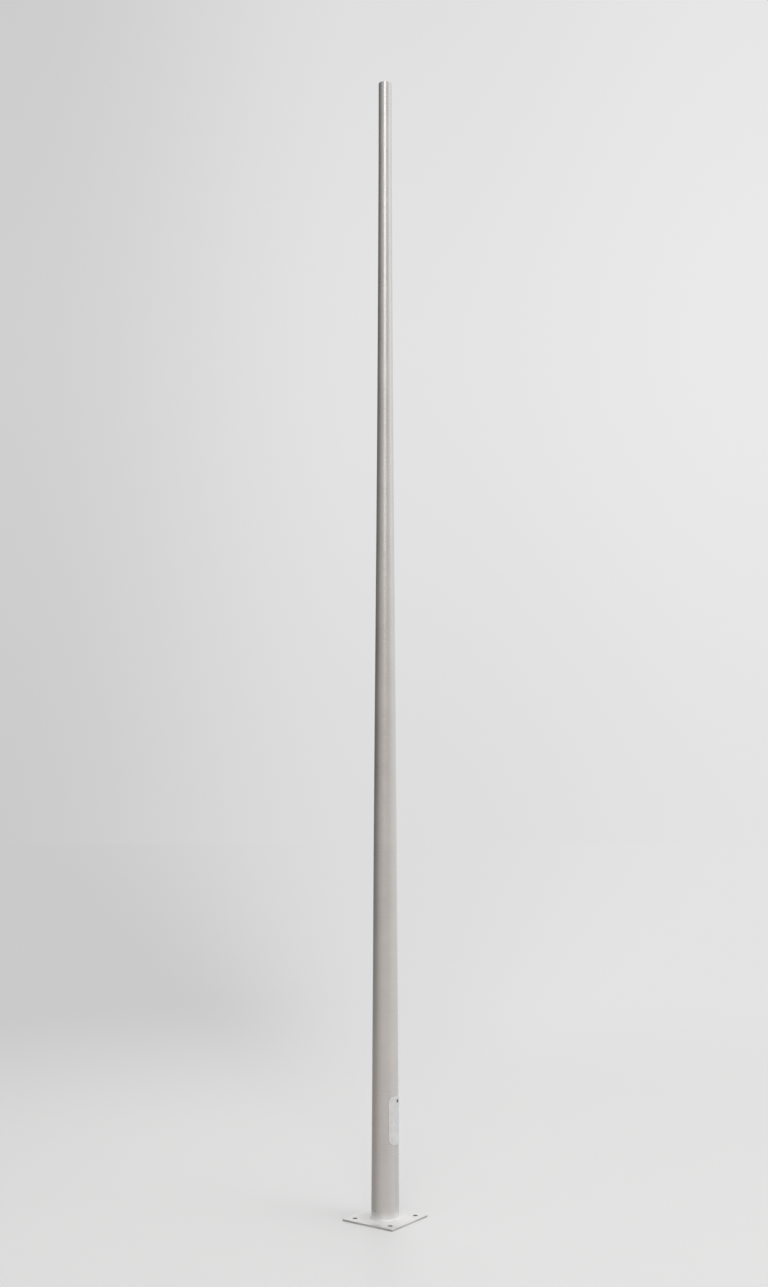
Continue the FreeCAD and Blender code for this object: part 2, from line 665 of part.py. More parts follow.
def earth_lead():
    """Lead from the lug, down beside the cut-out, and up through a gland into a terminal."""
    centre = Vec(STUD_X, lug_axis_y(), STUD_Z)
    points = [
        centre + lug_direction() * LEAD_START,
        centre + lug_direction() * 35,
        Vec(40.5, 9.0, 424),
        Vec(39.0, 7.0, 386),
        Vec(38.5, 5.5, 347),
        Vec(38.0, 4.0, 311),
        Vec(22.5, 3.5, 295),
        Vec(0.5, 3.0, 295.5),
        Vec(GLANDS[0][0], GLAND_Y, 311),
        Vec(GLANDS[0][0], GLAND_Y, TERMINAL_Z[0] + 9),
    ]
    path = rounded_path(points)
    start = (points[1] - points[0]).normalize()
    ring = Part.Wire(Part.makeCircle(LEAD_R, points[0], start))
    lead = path.makePipeShell([ring], True, True)
    print("lead volume over section times length", round(lead.Volume / (math.pi * LEAD_R**2 * path.Length), 4))
    return facing_door(lead)


# ---------------------------------------------------------------- export

NODES = [
    shaft, base_plate, base_weld, door_frame, door_gasket,
    door, door_hook, lock_barrel, lock_barrel_nut, lock_spindle, lock_cam, cam_screw,
    equipment_board, board_bracket_lower, board_bracket_upper, board_screws,
    cutout_base, cutout_screws, terminals, terminal_screws, fuse_clips,
    fuse_carrier, carrier_blades, fuse_barrel, fuse_caps,
    terminal_cover, cover_screw, cable_glands, gland_nuts,
    earth_stud, earth_washers, earth_nut, earth_lug, earth_lead,
]

os.makedirs("parts", exist_ok=True)
for make in NODES:
    solid = make()
    print(make.__name__, "valid", solid.isValid(), "solids", len(solid.Solids), "volume", round(solid.Volume))
    solid.exportStep("parts/" + make.__name__ + ".step")
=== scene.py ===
"""Looks of the tapered aluminium lamp post: studio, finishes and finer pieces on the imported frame.

Lengths are metres in the row frame: the origin is the centre of the base plate's underside and +Z
runs up the post. The service door faces -Y, turned a little towards +X.
"""

import json
import logging
import math
from dataclasses import dataclass
from enum import Enum
from typing import Callable, Sequence

import bmesh
import bpy
from mathutils import Matrix, Vector


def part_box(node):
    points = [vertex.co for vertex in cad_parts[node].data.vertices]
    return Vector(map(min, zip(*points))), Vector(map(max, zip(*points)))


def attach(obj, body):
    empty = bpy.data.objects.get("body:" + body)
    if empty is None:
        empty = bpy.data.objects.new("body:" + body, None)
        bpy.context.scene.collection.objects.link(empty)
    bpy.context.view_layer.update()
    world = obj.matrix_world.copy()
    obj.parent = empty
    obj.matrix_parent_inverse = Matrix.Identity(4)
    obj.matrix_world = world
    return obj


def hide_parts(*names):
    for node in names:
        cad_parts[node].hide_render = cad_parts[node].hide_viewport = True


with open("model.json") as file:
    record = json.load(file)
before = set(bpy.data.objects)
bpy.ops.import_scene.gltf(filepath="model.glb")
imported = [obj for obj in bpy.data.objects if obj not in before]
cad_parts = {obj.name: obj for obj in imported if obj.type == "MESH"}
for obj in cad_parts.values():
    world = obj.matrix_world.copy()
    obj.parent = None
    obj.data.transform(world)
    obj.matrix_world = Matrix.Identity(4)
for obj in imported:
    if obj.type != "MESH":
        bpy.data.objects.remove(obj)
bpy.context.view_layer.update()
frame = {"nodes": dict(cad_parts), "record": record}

LOG = logging.getLogger("lamp_post")

DOOR_AXIS = next(joint["axis"] for joint in frame["record"]["behaviour"]["joints"]
                 if joint["name"] == "door_tilt")
DOOR_TURN = math.atan2(DOOR_AXIS[1], DOOR_AXIS[0])  # the door's middle, about Z from -Y towards +X
DOOR_HALF_WIDTH = 0.0425
WHITE = (1.0, 1.0, 1.0, 1.0)
WELD_DISTANCE = 1e-7  # points nearer than this are one point
THREAD_FLANK = 1.25  # how steeply a thread falls; above 1 it has a flat root

Colour = tuple[float, float, float]
Tint = tuple[float, float, float, float]
Stops = tuple[tuple[float, float], ...]
Socket = bpy.types.NodeSocket


# ---------------------------------------------------------------- node graphs


class Graph:
    """A node tree with short calls that add, set and link nodes."""

    def __init__(self, tree: bpy.types.NodeTree) -> None:
        """Wrap a node tree.

        Args:
            tree: the material, world or group tree to build in.
        """
        self.tree = tree

    def add(self, kind: str, **settings: object) -> bpy.types.Node:
        """Add a node and set its properties.

        Args:
            kind: the node's type name without the leading ShaderNode.
            **settings: properties of the node.

        Returns:
            The new node.
        """
        node = self.tree.nodes.new(kind if kind.startswith("Node") else "ShaderNode" + kind)
        for name, value in settings.items():
            setattr(node, name, value)
        return node

    def feed(self, socket: Socket, value: object) -> None:
        """Link a socket to an input, or set the input to a plain value.

        Args:
            socket: the input.
            value: an output socket, a number, a vector or a colour.
        """
        if isinstance(value, bpy.types.NodeSocket):
            self.tree.links.new(value, socket)
        elif value is not None:
            socket.default_value = value

    def math(self, operation: str, first: object, second: object = None, third: object = None,
             clamp: bool = False) -> Socket:
        """Add a Math node.

        Args:
            operation: the Math node's operation.
            first: first operand.
            second: second operand, if the operation has one.
            third: third operand, if the operation has one.
            clamp: whether the result is kept between 0 and 1.

        Returns:
            The result's socket.
        """
        node = self.add("Math", operation=operation, use_clamp=clamp)
        for socket, value in zip(node.inputs, (first, second, third)):
            self.feed(socket, value)
        return node.outputs[0]

    def scaled(self, vector: Socket, factors: object) -> Socket:
        """Multiply a vector by factors.

        Args:
            vector: the vector.
            factors: a vector or the socket of one.

        Returns:
            The product's socket.
        """
        node = self.add("VectorMath", operation="MULTIPLY")
        self.feed(node.inputs[0], vector)
        self.feed(node.inputs[1], factors)
        return node.outputs[0]

    def noise(self, vector: Socket, scale: object, detail: float = 3.0, rough: float = 0.55) -> Socket:
        """Add a Noise Texture.

        Args:
            vector: where it is read.
            scale: its scale, per metre.
            detail: octaves.
            rough: how strong the finer octaves are.

        Returns:
            The socket of its value, centred on a half.
        """
        node = self.add("TexNoise")
        self.feed(node.inputs["Vector"], vector)
        self.feed(node.inputs["Scale"], scale)
        node.inputs["Detail"].default_value = detail
        node.inputs["Roughness"].default_value = rough
        return node.outputs["Fac"]

    def remap(self, value: Socket, low: float, high: float, to_low: object = 0.0,
              to_high: object = 1.0) -> Socket:
        """Map a range smoothly onto another, held at both ends.

        Args:
            value: what is mapped.
            low: value that gives to_low.
            high: value that gives to_high.
            to_low: result at low.
            to_high: result at high.

        Returns:
            The result's socket.
        """
        node = self.add("MapRange", interpolation_type="SMOOTHSTEP")
        for socket, item in zip(node.inputs, (value, low, high, to_low, to_high)):
            self.feed(socket, item)
        return node.outputs[0]

    def blend(self, factor: object, first: object, second: object, mode: str = "MIX") -> Socket:
        """Mix two colours.

        Args:
            factor: share of the second colour.
            first: first colour.
            second: second colour.
            mode: the Mix node's blend type.

        Returns:
            The mixed colour's socket.
        """
        node = self.add("Mix", data_type="RGBA", blend_type=mode)
        self.feed(node.inputs[0], factor)
        self.feed(node.inputs[6], first)
        self.feed(node.inputs[7], second)
        return node.outputs[2]

    def ramp(self, value: Socket, stops: Stops) -> Socket:
        """Add a grey ramp.

        Args:
            value: where the ramp is read, 0 to 1.
            stops: place and brightness of each stop.

        Returns:
            The brightness's socket.
        """
        node = self.add("ValToRGB")
        elements = node.color_ramp.elements
        while len(elements) < len(stops):
            elements.new(0.5)
        for element, (place, level) in zip(elements, stops):
            element.position = place
            element.color = (level, level, level, 1.0)
        node.color_ramp.interpolation = "EASE"
        self.feed(node.inputs[0], value)
        return node.outputs[0]

    def grey(self, level: Socket) -> Socket:
        """Make a grey colour of a level.

        Args:
            level: the level.

        Returns:
            The colour's socket.
        """
        node = self.add("CombineColor")
        for socket in node.inputs[:3]:
            self.feed(socket, level)
        return node.outputs[0]

    def group(self, tree: bpy.types.NodeTree, **values: object) -> bpy.types.Node:
        """Place a shared effect.

        Args:
            tree: the effect's node group.
            **values: its inputs by name, with underscores for spaces.

        Returns:
            The group's node.
        """
        node = self.add("Group")
        node.node_tree = tree
        for name, value in values.items():
            self.feed(node.inputs[name.replace("_", " ")], value)
        return node

    def find(self, kind: str) -> bpy.types.Node:
        """Return the tree's first node of a type."""
        return next(node for node in self.tree.nodes if node.type == kind)

    def part(self, vector: Socket, axis: str) -> Socket:
        """Take one part of a vector.

        Args:
            vector: the vector.
            axis: X, Y or Z.

        Returns:
            The part's socket.
        """
        node = self.add("SeparateXYZ")
        self.feed(node.inputs[0], vector)
        return node.outputs[axis]

    def length(self, vector: Socket) -> Socket:
        """Measure a vector.

        Args:
            vector: the vector.

        Returns:
            The socket of its length.
        """
        node = self.add("VectorMath", operation="LENGTH")
        self.feed(node.inputs[0], vector)
        return node.outputs["Value"]

    def turned(self, vector: Socket, angle: float) -> Socket:
        """Turn a vector about Z.

        Args:
            vector: the vector.
            angle: the turn, in radians.

        Returns:
            The turned vector's socket.
        """
        node = self.add("VectorRotate", rotation_type="Z_AXIS")
        node.inputs["Angle"].default_value = angle
        self.feed(node.inputs["Vector"], vector)
        return node.outputs[0]


class Effect:
    """A shader effect that several finishes share, kept as one node group."""

    name = "effect"
    takes: tuple[tuple[str, str, object], ...] = ()
    gives: tuple[str, ...] = ()

    def __init__(self) -> None:
        """Make the group with its named inputs and outputs."""
        self.tree = bpy.data.node_groups.new(self.name, "ShaderNodeTree")
        for label, kind, default in self.takes:
            socket = self.tree.interface.new_socket(name=label, in_out="INPUT", socket_type=kind)
            if default is not None:
                socket.default_value = default
        for label in self.gives:
            self.tree.interface.new_socket(name=label, in_out="OUTPUT", socket_type="NodeSocketFloat")
        self.graph = Graph(self.tree)
        self.given = self.graph.add("NodeGroupInput").outputs
        self.result = self.graph.add("NodeGroupOutput").inputs
        self.build()

    def build(self) -> None:
        """Add the nodes between the group's inputs and outputs."""
        raise NotImplementedError


class BrushedGrain(Effect):
    """Hairlines and broader bands left by a brush or a spinning lathe.

    The stretch input is the pattern's density along each axis, so its largest part runs across the lines.
    """

    name = "brushed_grain"
    takes = (("Vector", "NodeSocketVector", None), ("Stretch", "NodeSocketVector", (1.0, 1.0, 1.0)))
    gives = ("Lines", "Bands")
    band_scale = 0.07  # density of the bands against that of the lines

    def build(self) -> None:
        """Two noises on one stretched space."""
        space = self.graph.scaled(self.given["Vector"], self.given["Stretch"])
        lines = self.graph.noise(space, 1.0, detail=4.0, rough=0.7)
        bands = self.graph.noise(space, self.band_scale, detail=2.0, rough=0.5)
        self.graph.feed(self.result["Lines"], lines)
        self.graph.feed(self.result["Bands"], bands)


class Mottle(Effect):
    """Cloudy patches, as on anodised or cast metal and moulded plastic."""

    name = "mottle"
    takes = (("Vector", "NodeSocketVector", None), ("Scale", "NodeSocketFloat", 20.0))
    gives = ("Cloud", "Speck")
    cloud_span = (0.3, 0.7)  # noise where the cloud begins and where it is full
    speck_scale = 14.0  # density of the specks against that of the cloud

    def build(self) -> None:
        """A coarse cloud and a fine speckle."""
        cloud = self.graph.noise(self.given["Vector"], self.given["Scale"], detail=3.0, rough=0.6)
        fine = self.graph.math("MULTIPLY", self.given["Scale"], self.speck_scale)
        speck = self.graph.noise(self.given["Vector"], fine, detail=2.0, rough=0.7)
        self.graph.feed(self.result["Cloud"], self.graph.remap(cloud, *self.cloud_span))
        self.graph.feed(self.result["Speck"], speck)


class Scratches(Effect):
    """Sparse hairline scratches that wander over the surface."""

    name = "scratches"
    takes = (("Vector", "NodeSocketVector", None), ("Stretch", "NodeSocketVector", (1.0, 1.0, 1.0)),
             ("Cover", "NodeSocketFloat", 0.4))
    gives = ("Mark",)
    half_line = 0.006  # half of a scratch's width, in steps of the noise
    patch_scale = 9.0  # density of the scratched patches, per metre
    full_cover = 0.3  # noise above which a patch is scratched at a cover of 1
    cover_gain = 0.4  # what is added to that at a cover of 0

    def build(self) -> None:
        """Thin level lines of a stretched noise, kept only where a second noise is high."""
        graph = self.graph
        space = graph.scaled(self.given["Vector"], self.given["Stretch"])
        wander = graph.noise(space, 1.0, detail=2.0, rough=0.5)
        off_line = graph.math("ABSOLUTE", graph.math("SUBTRACT", wander, 0.5))
        line = graph.remap(off_line, 0.0, self.half_line, 1.0, 0.0)
        patches = graph.noise(self.given["Vector"], self.patch_scale, detail=2.0, rough=0.5)
        bare = graph.math("SUBTRACT", 1.0, self.given["Cover"])
        least = graph.math("MULTIPLY_ADD", bare, self.cover_gain, self.full_cover)
        kept = graph.math("GREATER_THAN", patches, least)
        graph.feed(self.result["Mark"], graph.math("MULTIPLY", line, kept))


class Dust(Effect):
    """Settled dust on what faces up, broken into patches."""

    name = "settled_dust"
    takes = (("Vector", "NodeSocketVector", None), ("Amount", "NodeSocketFloat", 0.3))
    gives = ("Dust",)
    facing_span = (0.4, 0.95)  # upward part of the normal where dust begins and where it is full
    patch_scale = 34.0  # density of the patches, per metre
    patch_span = (0.35, 0.75)  # noise where a patch begins and where it is full

    def build(self) -> None:
        """Upward-facing share times a broken noise."""
        graph = self.graph
        facing = graph.remap(graph.part(graph.add("NewGeometry").outputs["Normal"], "Z"), *self.facing_span)
        patches = graph.noise(self.given["Vector"], self.patch_scale, detail=5.0, rough=0.65)
        dust = graph.math("MULTIPLY", facing, graph.remap(patches, *self.patch_span))
        graph.feed(self.result["Dust"], graph.math("MULTIPLY", dust, self.given["Amount"]))


class EdgeWearAndHighlight(Effect):
    """Band along the outline of a rounded rectangle that lies in the vector's X and Y: rubbed wear on the
    plate, a painted highlight on the door's rim.
    """

    name = "edge_wear_and_highlight"
    takes = (("Vector", "NodeSocketVector", None), ("Half Width", "NodeSocketFloat", 0.1),
             ("Half Height", "NodeSocketFloat", 0.1), ("Corner", "NodeSocketFloat", 0.01),
             ("Width", "NodeSocketFloat", 0.004))
    gives = ("WearAndHighlight",)
    ragged_scale = 120.0  # density of the band's ragged edge, per metre
    least_reach = 0.4  # how far the band reaches where its noise is 0, in band widths
    reach_gain = 1.2  # what is added to that where the noise is 1

    def build(self) -> None:
        """Nearness to the outline, broken by noise."""
        graph = self.graph
        x, y = (self.beyond(axis, half) for axis, half in (("X", "Half Width"), ("Y", "Half Height")))
        outside = graph.math("SQRT", graph.math("ADD", self.squared(x), self.squared(y)))
        inside = graph.math("MINIMUM", graph.math("MAXIMUM", x, y), 0.0)
        depth = graph.math("SUBTRACT", self.given["Corner"], graph.math("ADD", outside, inside))
        near = graph.math("DIVIDE", depth, self.given["Width"])
        ragged = graph.noise(self.given["Vector"], self.ragged_scale, detail=3.0, rough=0.6)
        reach = graph.math("MULTIPLY_ADD", ragged, self.reach_gain, self.least_reach)
        graph.feed(self.result["WearAndHighlight"], graph.math("SUBTRACT", reach, near, clamp=True))

    def beyond(self, axis: str, half: str) -> Socket:
        """Work out how far a point is beyond the corner's centre on one axis.

        Args:
            axis: X or Y.
            half: the input that holds half the rectangle's size on that axis.

        Returns:
            The distance's socket, negative inside.
        """
        centre = self.graph.math("SUBTRACT", self.given[half], self.given["Corner"])
        away = self.graph.math("ABSOLUTE", self.graph.part(self.given["Vector"], axis))
        return self.graph.math("SUBTRACT", away, centre)

    def squared(self, value: Socket) -> Socket:
        """Return the square of a value, or 0 where it is negative."""
        held = self.graph.math("MAXIMUM", value, 0.0)
        return self.graph.math("MULTIPLY", held, held)


class Effects:
    """The shared effects, each made once."""

    def __init__(self) -> None:
        """Make every node group."""
        self.grain = BrushedGrain().tree
        self.mottle = Mottle().tree
        self.scratches = Scratches().tree
        self.dust = Dust().tree
        self.wear_and_painted_light = EdgeWearAndHighlight().tree


# ---------------------------------------------------------------- finishes


class Lay(Enum):
    """Which way the brush or tool marks run, as pattern density along X, Y and Z, per metre."""

    AROUND = (6.0, 6.0, 1400.0)
    ALONG_X = (6.0, 900.0, 900.0)
    ALONG_Z = (900.0, 900.0, 6.0)
    EVEN = (90.0, 260.0, 420.0)


@dataclass
class Surface:
    """A material in the making: its graph and shader, and what the shader is to be fed."""

    graph: Graph
    shader: bpy.types.Node
    place: Socket
    rough: Socket | float
    colour: Socket | Tint = WHITE
    metal: Socket | float = 0.0

    def pattern(self, tree: bpy.types.NodeTree, **values: object) -> bpy.types.NodeOutputs:
        """Place a shared effect on the object's own coordinates.

        Args:
            tree: the effect's node group.
            **values: its other inputs by name, with underscores for spaces.

        Returns:
            The effect's outputs.
        """
        return self.graph.group(tree, Vector=self.place, **values).outputs

    def touch(self, mask: Socket, colour: Tint, cover: float = 1.0, rough: float = 0.0) -> None:
        """Blend a colour in and change the roughness.

        Args:
            mask: where, 0 to 1.
            colour: the colour.
            cover: how much of it shows where the mask is 1.
            rough: what is added to the roughness where the mask is 1.
        """
        factor = mask if cover == 1.0 else self.graph.math("MULTIPLY", mask, cover)
        self.colour = self.graph.blend(factor, self.colour, colour)
        if rough:
            self.rough = self.graph.math("MULTIPLY_ADD", mask, rough, self.rough)

    def emboss(self, height: Socket, depth: float) -> None:
        """Give the surface a fine relief.

        Args:
            height: the height, about 0 to 1.
            depth: the real height of 1, in metres.
        """
        bump = self.graph.add("Bump")
        bump.inputs["Distance"].default_value = depth
        bump.inputs["Strength"].default_value = 1.0
        self.graph.feed(bump.inputs["Height"], height)
        self.graph.feed(self.shader.inputs["Normal"], bump.outputs["Normal"])


@dataclass(frozen=True)
class Finish:
    """What every finish shares: its slot's name, colour and roughness."""

    slot: str
    colour: Colour
    roughness: float

    def make(self, effects: Effects) -> bpy.types.Material:
        """Build the material.

        Args:
            effects: the shared effects.

        Returns:
            The material.
        """
        material = bpy.data.materials.new(self.slot)
        material.use_nodes = True
        graph = Graph(material.node_tree)
        shader = graph.find("BSDF_PRINCIPLED")
        surface = Surface(graph, shader, graph.add("TexCoord").outputs["Object"], self.roughness)
        self.paint(surface, effects)
        graph.feed(shader.inputs["Base Color"], surface.colour)
        graph.feed(shader.inputs["Roughness"], surface.rough)
        graph.feed(shader.inputs["Metallic"], surface.metal)
        return material

    def paint(self, surface: Surface, effects: Effects) -> None:
        """Give the surface its colour, roughness and relief.

        Args:
            surface: the material in the making.
            effects: the shared effects.
        """
        raise NotImplementedError

    def tint(self, share: float = 1.0) -> Tint:
        """Return the finish's colour, scaled, with alpha."""
        red, green, blue = (min(1.0, part * share) for part in self.colour)
        return red, green, blue, 1.0


@dataclass(frozen=True)
class MetalFinish(Finish):
    """Bare, anodised or plated metal with tool marks, clouding and fine scratches."""

    lay: Lay = Lay.EVEN
    lines: float = 0.06
    bands: float = 0.05
    cloud: float = 0.05
    cloud_scale: float = 9.0
    speck: float = 0.0
    scratch: float = 0.3
    depth: float = 0.00002
    metallic: float = 1.0
    line_rough: float = 0.12
    cloud_rough: float = 0.08
    scratch_rough: float = -0.1
    scratch_shine: float = 0.25
    scratch_sunk: float = 0.6
    scratch_spread: float = 0.12
    speck_relief: float = 8.0
    smoothest: float = 0.08

    def paint(self, surface: Surface, effects: Effects) -> None:
        """Lay the tool marks, clouding and scratches, then what only this piece shows.

        Args:
            surface: the material in the making.
            effects: the shared effects.
        """
        graph = surface.graph
        grain = surface.pattern(effects.grain, Stretch=self.lay.value)
        mottle = surface.pattern(effects.mottle, Scale=self.cloud_scale)
        scuff = [part * self.scratch_spread for part in self.lay.value]
        mark = surface.pattern(effects.scratches, Stretch=scuff, Cover=self.scratch)["Mark"]
        tone = graph.math("MULTIPLY_ADD", grain["Lines"], self.lines, 1.0 - self.lines / 2)
        tone = graph.math("MULTIPLY_ADD", grain["Bands"], self.bands, tone)
        tone = graph.math("MULTIPLY_ADD", mottle["Cloud"], self.cloud, tone)
        tone = graph.math("MULTIPLY_ADD", mottle["Speck"], self.speck, tone)
        tone = graph.math("SUBTRACT", tone, (self.bands + self.cloud + self.speck) / 2)
        surface.colour = graph.blend(1.0, self.tint(), graph.grey(tone), "MULTIPLY")
        smooth = self.roughness - self.line_rough / 2
        surface.rough = graph.math("MULTIPLY_ADD", grain["Lines"], self.line_rough, smooth)
        surface.rough = graph.math("MULTIPLY_ADD", mottle["Cloud"], self.cloud_rough, surface.rough)
        surface.touch(mark, WHITE, cover=self.scratch_shine, rough=self.scratch_rough)
        surface.metal = self.metallic
        self.wear_and_painted_light(surface, effects)
        surface.rough = graph.math("MAXIMUM", surface.rough, self.smoothest)
        height = graph.math("MULTIPLY_ADD", mark, -self.scratch_sunk, grain["Lines"])
        speckled = min(1.0, self.speck * self.speck_relief)
        height = graph.math("MULTIPLY_ADD", mottle["Speck"], speckled, height)
        surface.emboss(height, self.depth)

    def wear_and_painted_light(self, surface: Surface, effects: Effects) -> None:
        """Add the wear and painted light that only some metal pieces show; a plain one shows nothing more.

        Args:
            surface: the material in the making; not used here.
            effects: the shared effects; not used here.
        """


@dataclass(frozen=True)
class ShaftFinish(MetalFinish):
    """Spun tube, with a painted reflection of the bright base plate at its foot."""

    plate_reflection_to: float = 0.042
    plate_top: float = 0.008

    def wear_and_painted_light(self, surface: Surface, effects: Effects) -> None:
        """Whiten the foot: a painted reflection of the bright base plate.

        Args:
            surface: the material in the making.
            effects: the shared effects; not used here.
        """
        # painted reflection: the foot just above the plate is whitened as if it mirrored the bright plate
        height = surface.graph.part(surface.place, "Z")
        plate_reflection = surface.graph.remap(height, self.plate_top, self.plate_reflection_to, 1.0, 0.0)
        surface.touch(plate_reflection, WHITE, cover=0.7, rough=0.2)


@dataclass(frozen=True)
class PlateFinish(MetalFinish):
    """Rolled plate: dull sawn sides, painted shade in the bolt holes, rubbed edges, painted light round the
    shaft.
    """

    corner: float = 0.003
    rubbed_width: float = 0.003
    rubbed: float = 1.1
    sawn: float = 0.72
    hole_shade: float = 0.40
    dusty: float = 0.9
    dust: float = 0.2
    ring: tuple[float, float] = (0.075, 0.16)
    painted_glow: Tint = (0.77, 0.765, 0.755, 1.0)
    painted_glow_metallic: float = 0.15
    side_span: tuple[float, float] = (0.2, 0.5)  # upward part of the normal on a side, and on a face
    hole_edge: tuple[float, float] = (0.0002, 0.0007)  # past the radius: where dark begins to fade, ends

    def wear_and_painted_light(self, surface: Surface, effects: Effects) -> None:
        """Add the plate's rubbed edges, sawn sides, painted light round the shaft, painted shade in the
        holes, and dust.

        Args:
            surface: the material in the making.
            effects: the shared effects.
        """
        graph = surface.graph
        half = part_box("base_plate")[1].x
        edge = surface.pattern(effects.wear_and_painted_light, Half_Width=half, Half_Height=half, Corner=self.corner,
                               Width=self.rubbed_width)["WearAndHighlight"]
        surface.touch(edge, self.tint(self.rubbed), cover=0.5, rough=-0.12)
        normal = graph.add("NewGeometry").outputs["Normal"]
        upward = graph.math("ABSOLUTE", graph.part(normal, "Z"))
        side = graph.remap(upward, *self.side_span, 1.0, 0.0)
        surface.touch(side, self.tint(self.sawn), rough=0.12)
        # painted light: a paler, less metallic ring round the shaft stands in for light the shaft throws onto
        # the plate
        ring = graph.remap(graph.length(surface.place), *self.ring, 1.0, 0.0)
        surface.touch(ring, self.painted_glow, rough=0.2)
        duller = self.painted_glow_metallic - self.metallic
        surface.metal = graph.math("MULTIPLY_ADD", ring, duller, self.metallic)
        # painted shade: the bolt holes' walls are darkened where shade falls inside them
        surface.touch(self.in_hole(surface), self.tint(self.hole_shade), cover=0.9, rough=0.2)
        dust = surface.pattern(effects.dust, Amount=self.dust)["Dust"]
        surface.touch(dust, self.tint(self.dusty), rough=0.5)

    def in_hole(self, surface: Surface) -> Socket:
        """Find the bolt holes' walls.

        Args:
            surface: the material in the making.

        Returns:
            The mask's socket, 1 on the walls and 0 elsewhere.
        """
        graph = surface.graph
        bolts = next(mount for mount in frame["record"]["mounts"] if mount["name"] == "anchor_bolts")
        half = bolts["dims"]["spacing_x_mm"] / 2000
        radius = bolts["dims"]["hole_r_mm"] / 1000
        folded = graph.add("VectorMath", operation="ABSOLUTE")
        graph.feed(folded.inputs[0], graph.scaled(surface.place, (1.0, 1.0, 0.0)))
        offset = graph.add("VectorMath", operation="DISTANCE")
        graph.feed(offset.inputs[0], folded.outputs[0])
        offset.inputs[1].default_value = (half, half, 0.0)
        dark, plain = (radius + past for past in self.hole_edge)
        return graph.remap(offset.outputs["Value"], dark, plain, 1.0, 0.0)


@dataclass(frozen=True)
class DoorFinish(MetalFinish):
    """Mottled anodised sheet with a painted highlight along its rim."""

    rim: float = 0.0035
    corner: float = 0.025

    def wear_and_painted_light(self, surface: Surface, effects: Effects) -> None:
        """Paint a highlight along the rim.

        Args:
            surface: the material in the making.
            effects: the shared effects.
        """
        graph = surface.graph
        turned = graph.turned(surface.place, -DOOR_TURN)
        low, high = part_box("door")
        flat = graph.add("CombineXYZ")
        middle = (low.z + high.z) / 2
        graph.feed(flat.inputs["X"], graph.part(turned, "X"))
        graph.feed(flat.inputs["Y"], graph.math("SUBTRACT", graph.part(turned, "Z"), middle))
        rim = graph.group(effects.wear_and_painted_light, Vector=flat.outputs[0], Half_Width=DOOR_HALF_WIDTH,
                          Half_Height=(high.z - low.z) / 2, Corner=self.corner, Width=self.rim)
        # painted highlight: the rim is whitened where its bevel would catch the overhead light
        surface.touch(rim.outputs["WearAndHighlight"], WHITE, cover=0.7, rough=0.15)


@dataclass(frozen=True)
class PlasticFinish(Finish):
    """Moulded plastic, rubber or ceramic: clouded colour, spark-eroded grain and scuffs."""

    cloud: float = 0.06
    cloud_scale: float = 60.0
    grain: float = 900.0
    grain_rough: float = 0.16
    depth: float = 0.00003
    coat: float = 0.0
    coat_rough: float = 0.12
    dust: float = 0.15
    dusty: Tint = (0.46, 0.44, 0.41, 1.0)
    scratch: float = 0.2
    scuffed: Tint = (0.7, 0.7, 0.7, 1.0)
    scuff_lay: tuple[float, float, float] = (14.0, 120.0, 60.0)

    def paint(self, surface: Surface, effects: Effects) -> None:
        """Cloud the colour, then add scuffs, dust and grain.

        Args:
            surface: the material in the making.
            effects: the shared effects.
        """
        graph = surface.graph
        surface.shader.inputs["Coat Weight"].default_value = self.coat
        surface.shader.inputs["Coat Roughness"].default_value = self.coat_rough
        cloud = surface.pattern(effects.mottle, Scale=self.cloud_scale)["Cloud"]
        mark = surface.pattern(effects.scratches, Stretch=self.scuff_lay, Cover=self.scratch)["Mark"]
        dust = surface.pattern(effects.dust, Amount=self.dust)["Dust"]
        fine = graph.noise(surface.place, self.grain, detail=3.0, rough=0.6)
        surface.colour = graph.blend(cloud, self.tint(1 - self.cloud), self.tint(1 + self.cloud))
        smooth = self.roughness - self.grain_rough / 2
        surface.rough = graph.math("MULTIPLY_ADD", fine, self.grain_rough, smooth)
        surface.touch(mark, self.scuffed, cover=0.2)
        surface.touch(dust, self.dusty, rough=0.3)
        surface.emboss(fine, self.depth)


@dataclass(frozen=True)
class LaminateFinish(Finish):
    """Paper laminate board: long fibres in the face and a resin gloss."""

    dark: float = 0.6
    light: float = 1.45
    stained: float = 0.7
    stain_scale: float = 30.0
    fibre_rough: float = 0.2
    depth: float = 0.00003
    coat: float = 0.3

    def paint(self, surface: Surface, effects: Effects) -> None:
        """Lay the fibres, then stain them.

        Args:
            surface: the material in the making.
            effects: the shared effects.
        """
        graph = surface.graph
        surface.shader.inputs["Coat Weight"].default_value = self.coat
        fibres = surface.pattern(effects.grain, Stretch=Lay.ALONG_Z.value)["Lines"]
        stain = surface.pattern(effects.mottle, Scale=self.stain_scale)["Cloud"]
        surface.colour = graph.blend(fibres, self.tint(self.dark), self.tint(self.light))
        surface.touch(stain, self.tint(self.stained), cover=0.3)
        smooth = self.roughness - self.fibre_rough / 2
        surface.rough = graph.math("MULTIPLY_ADD", fibres, self.fibre_rough, smooth)
        surface.emboss(fibres, self.depth)


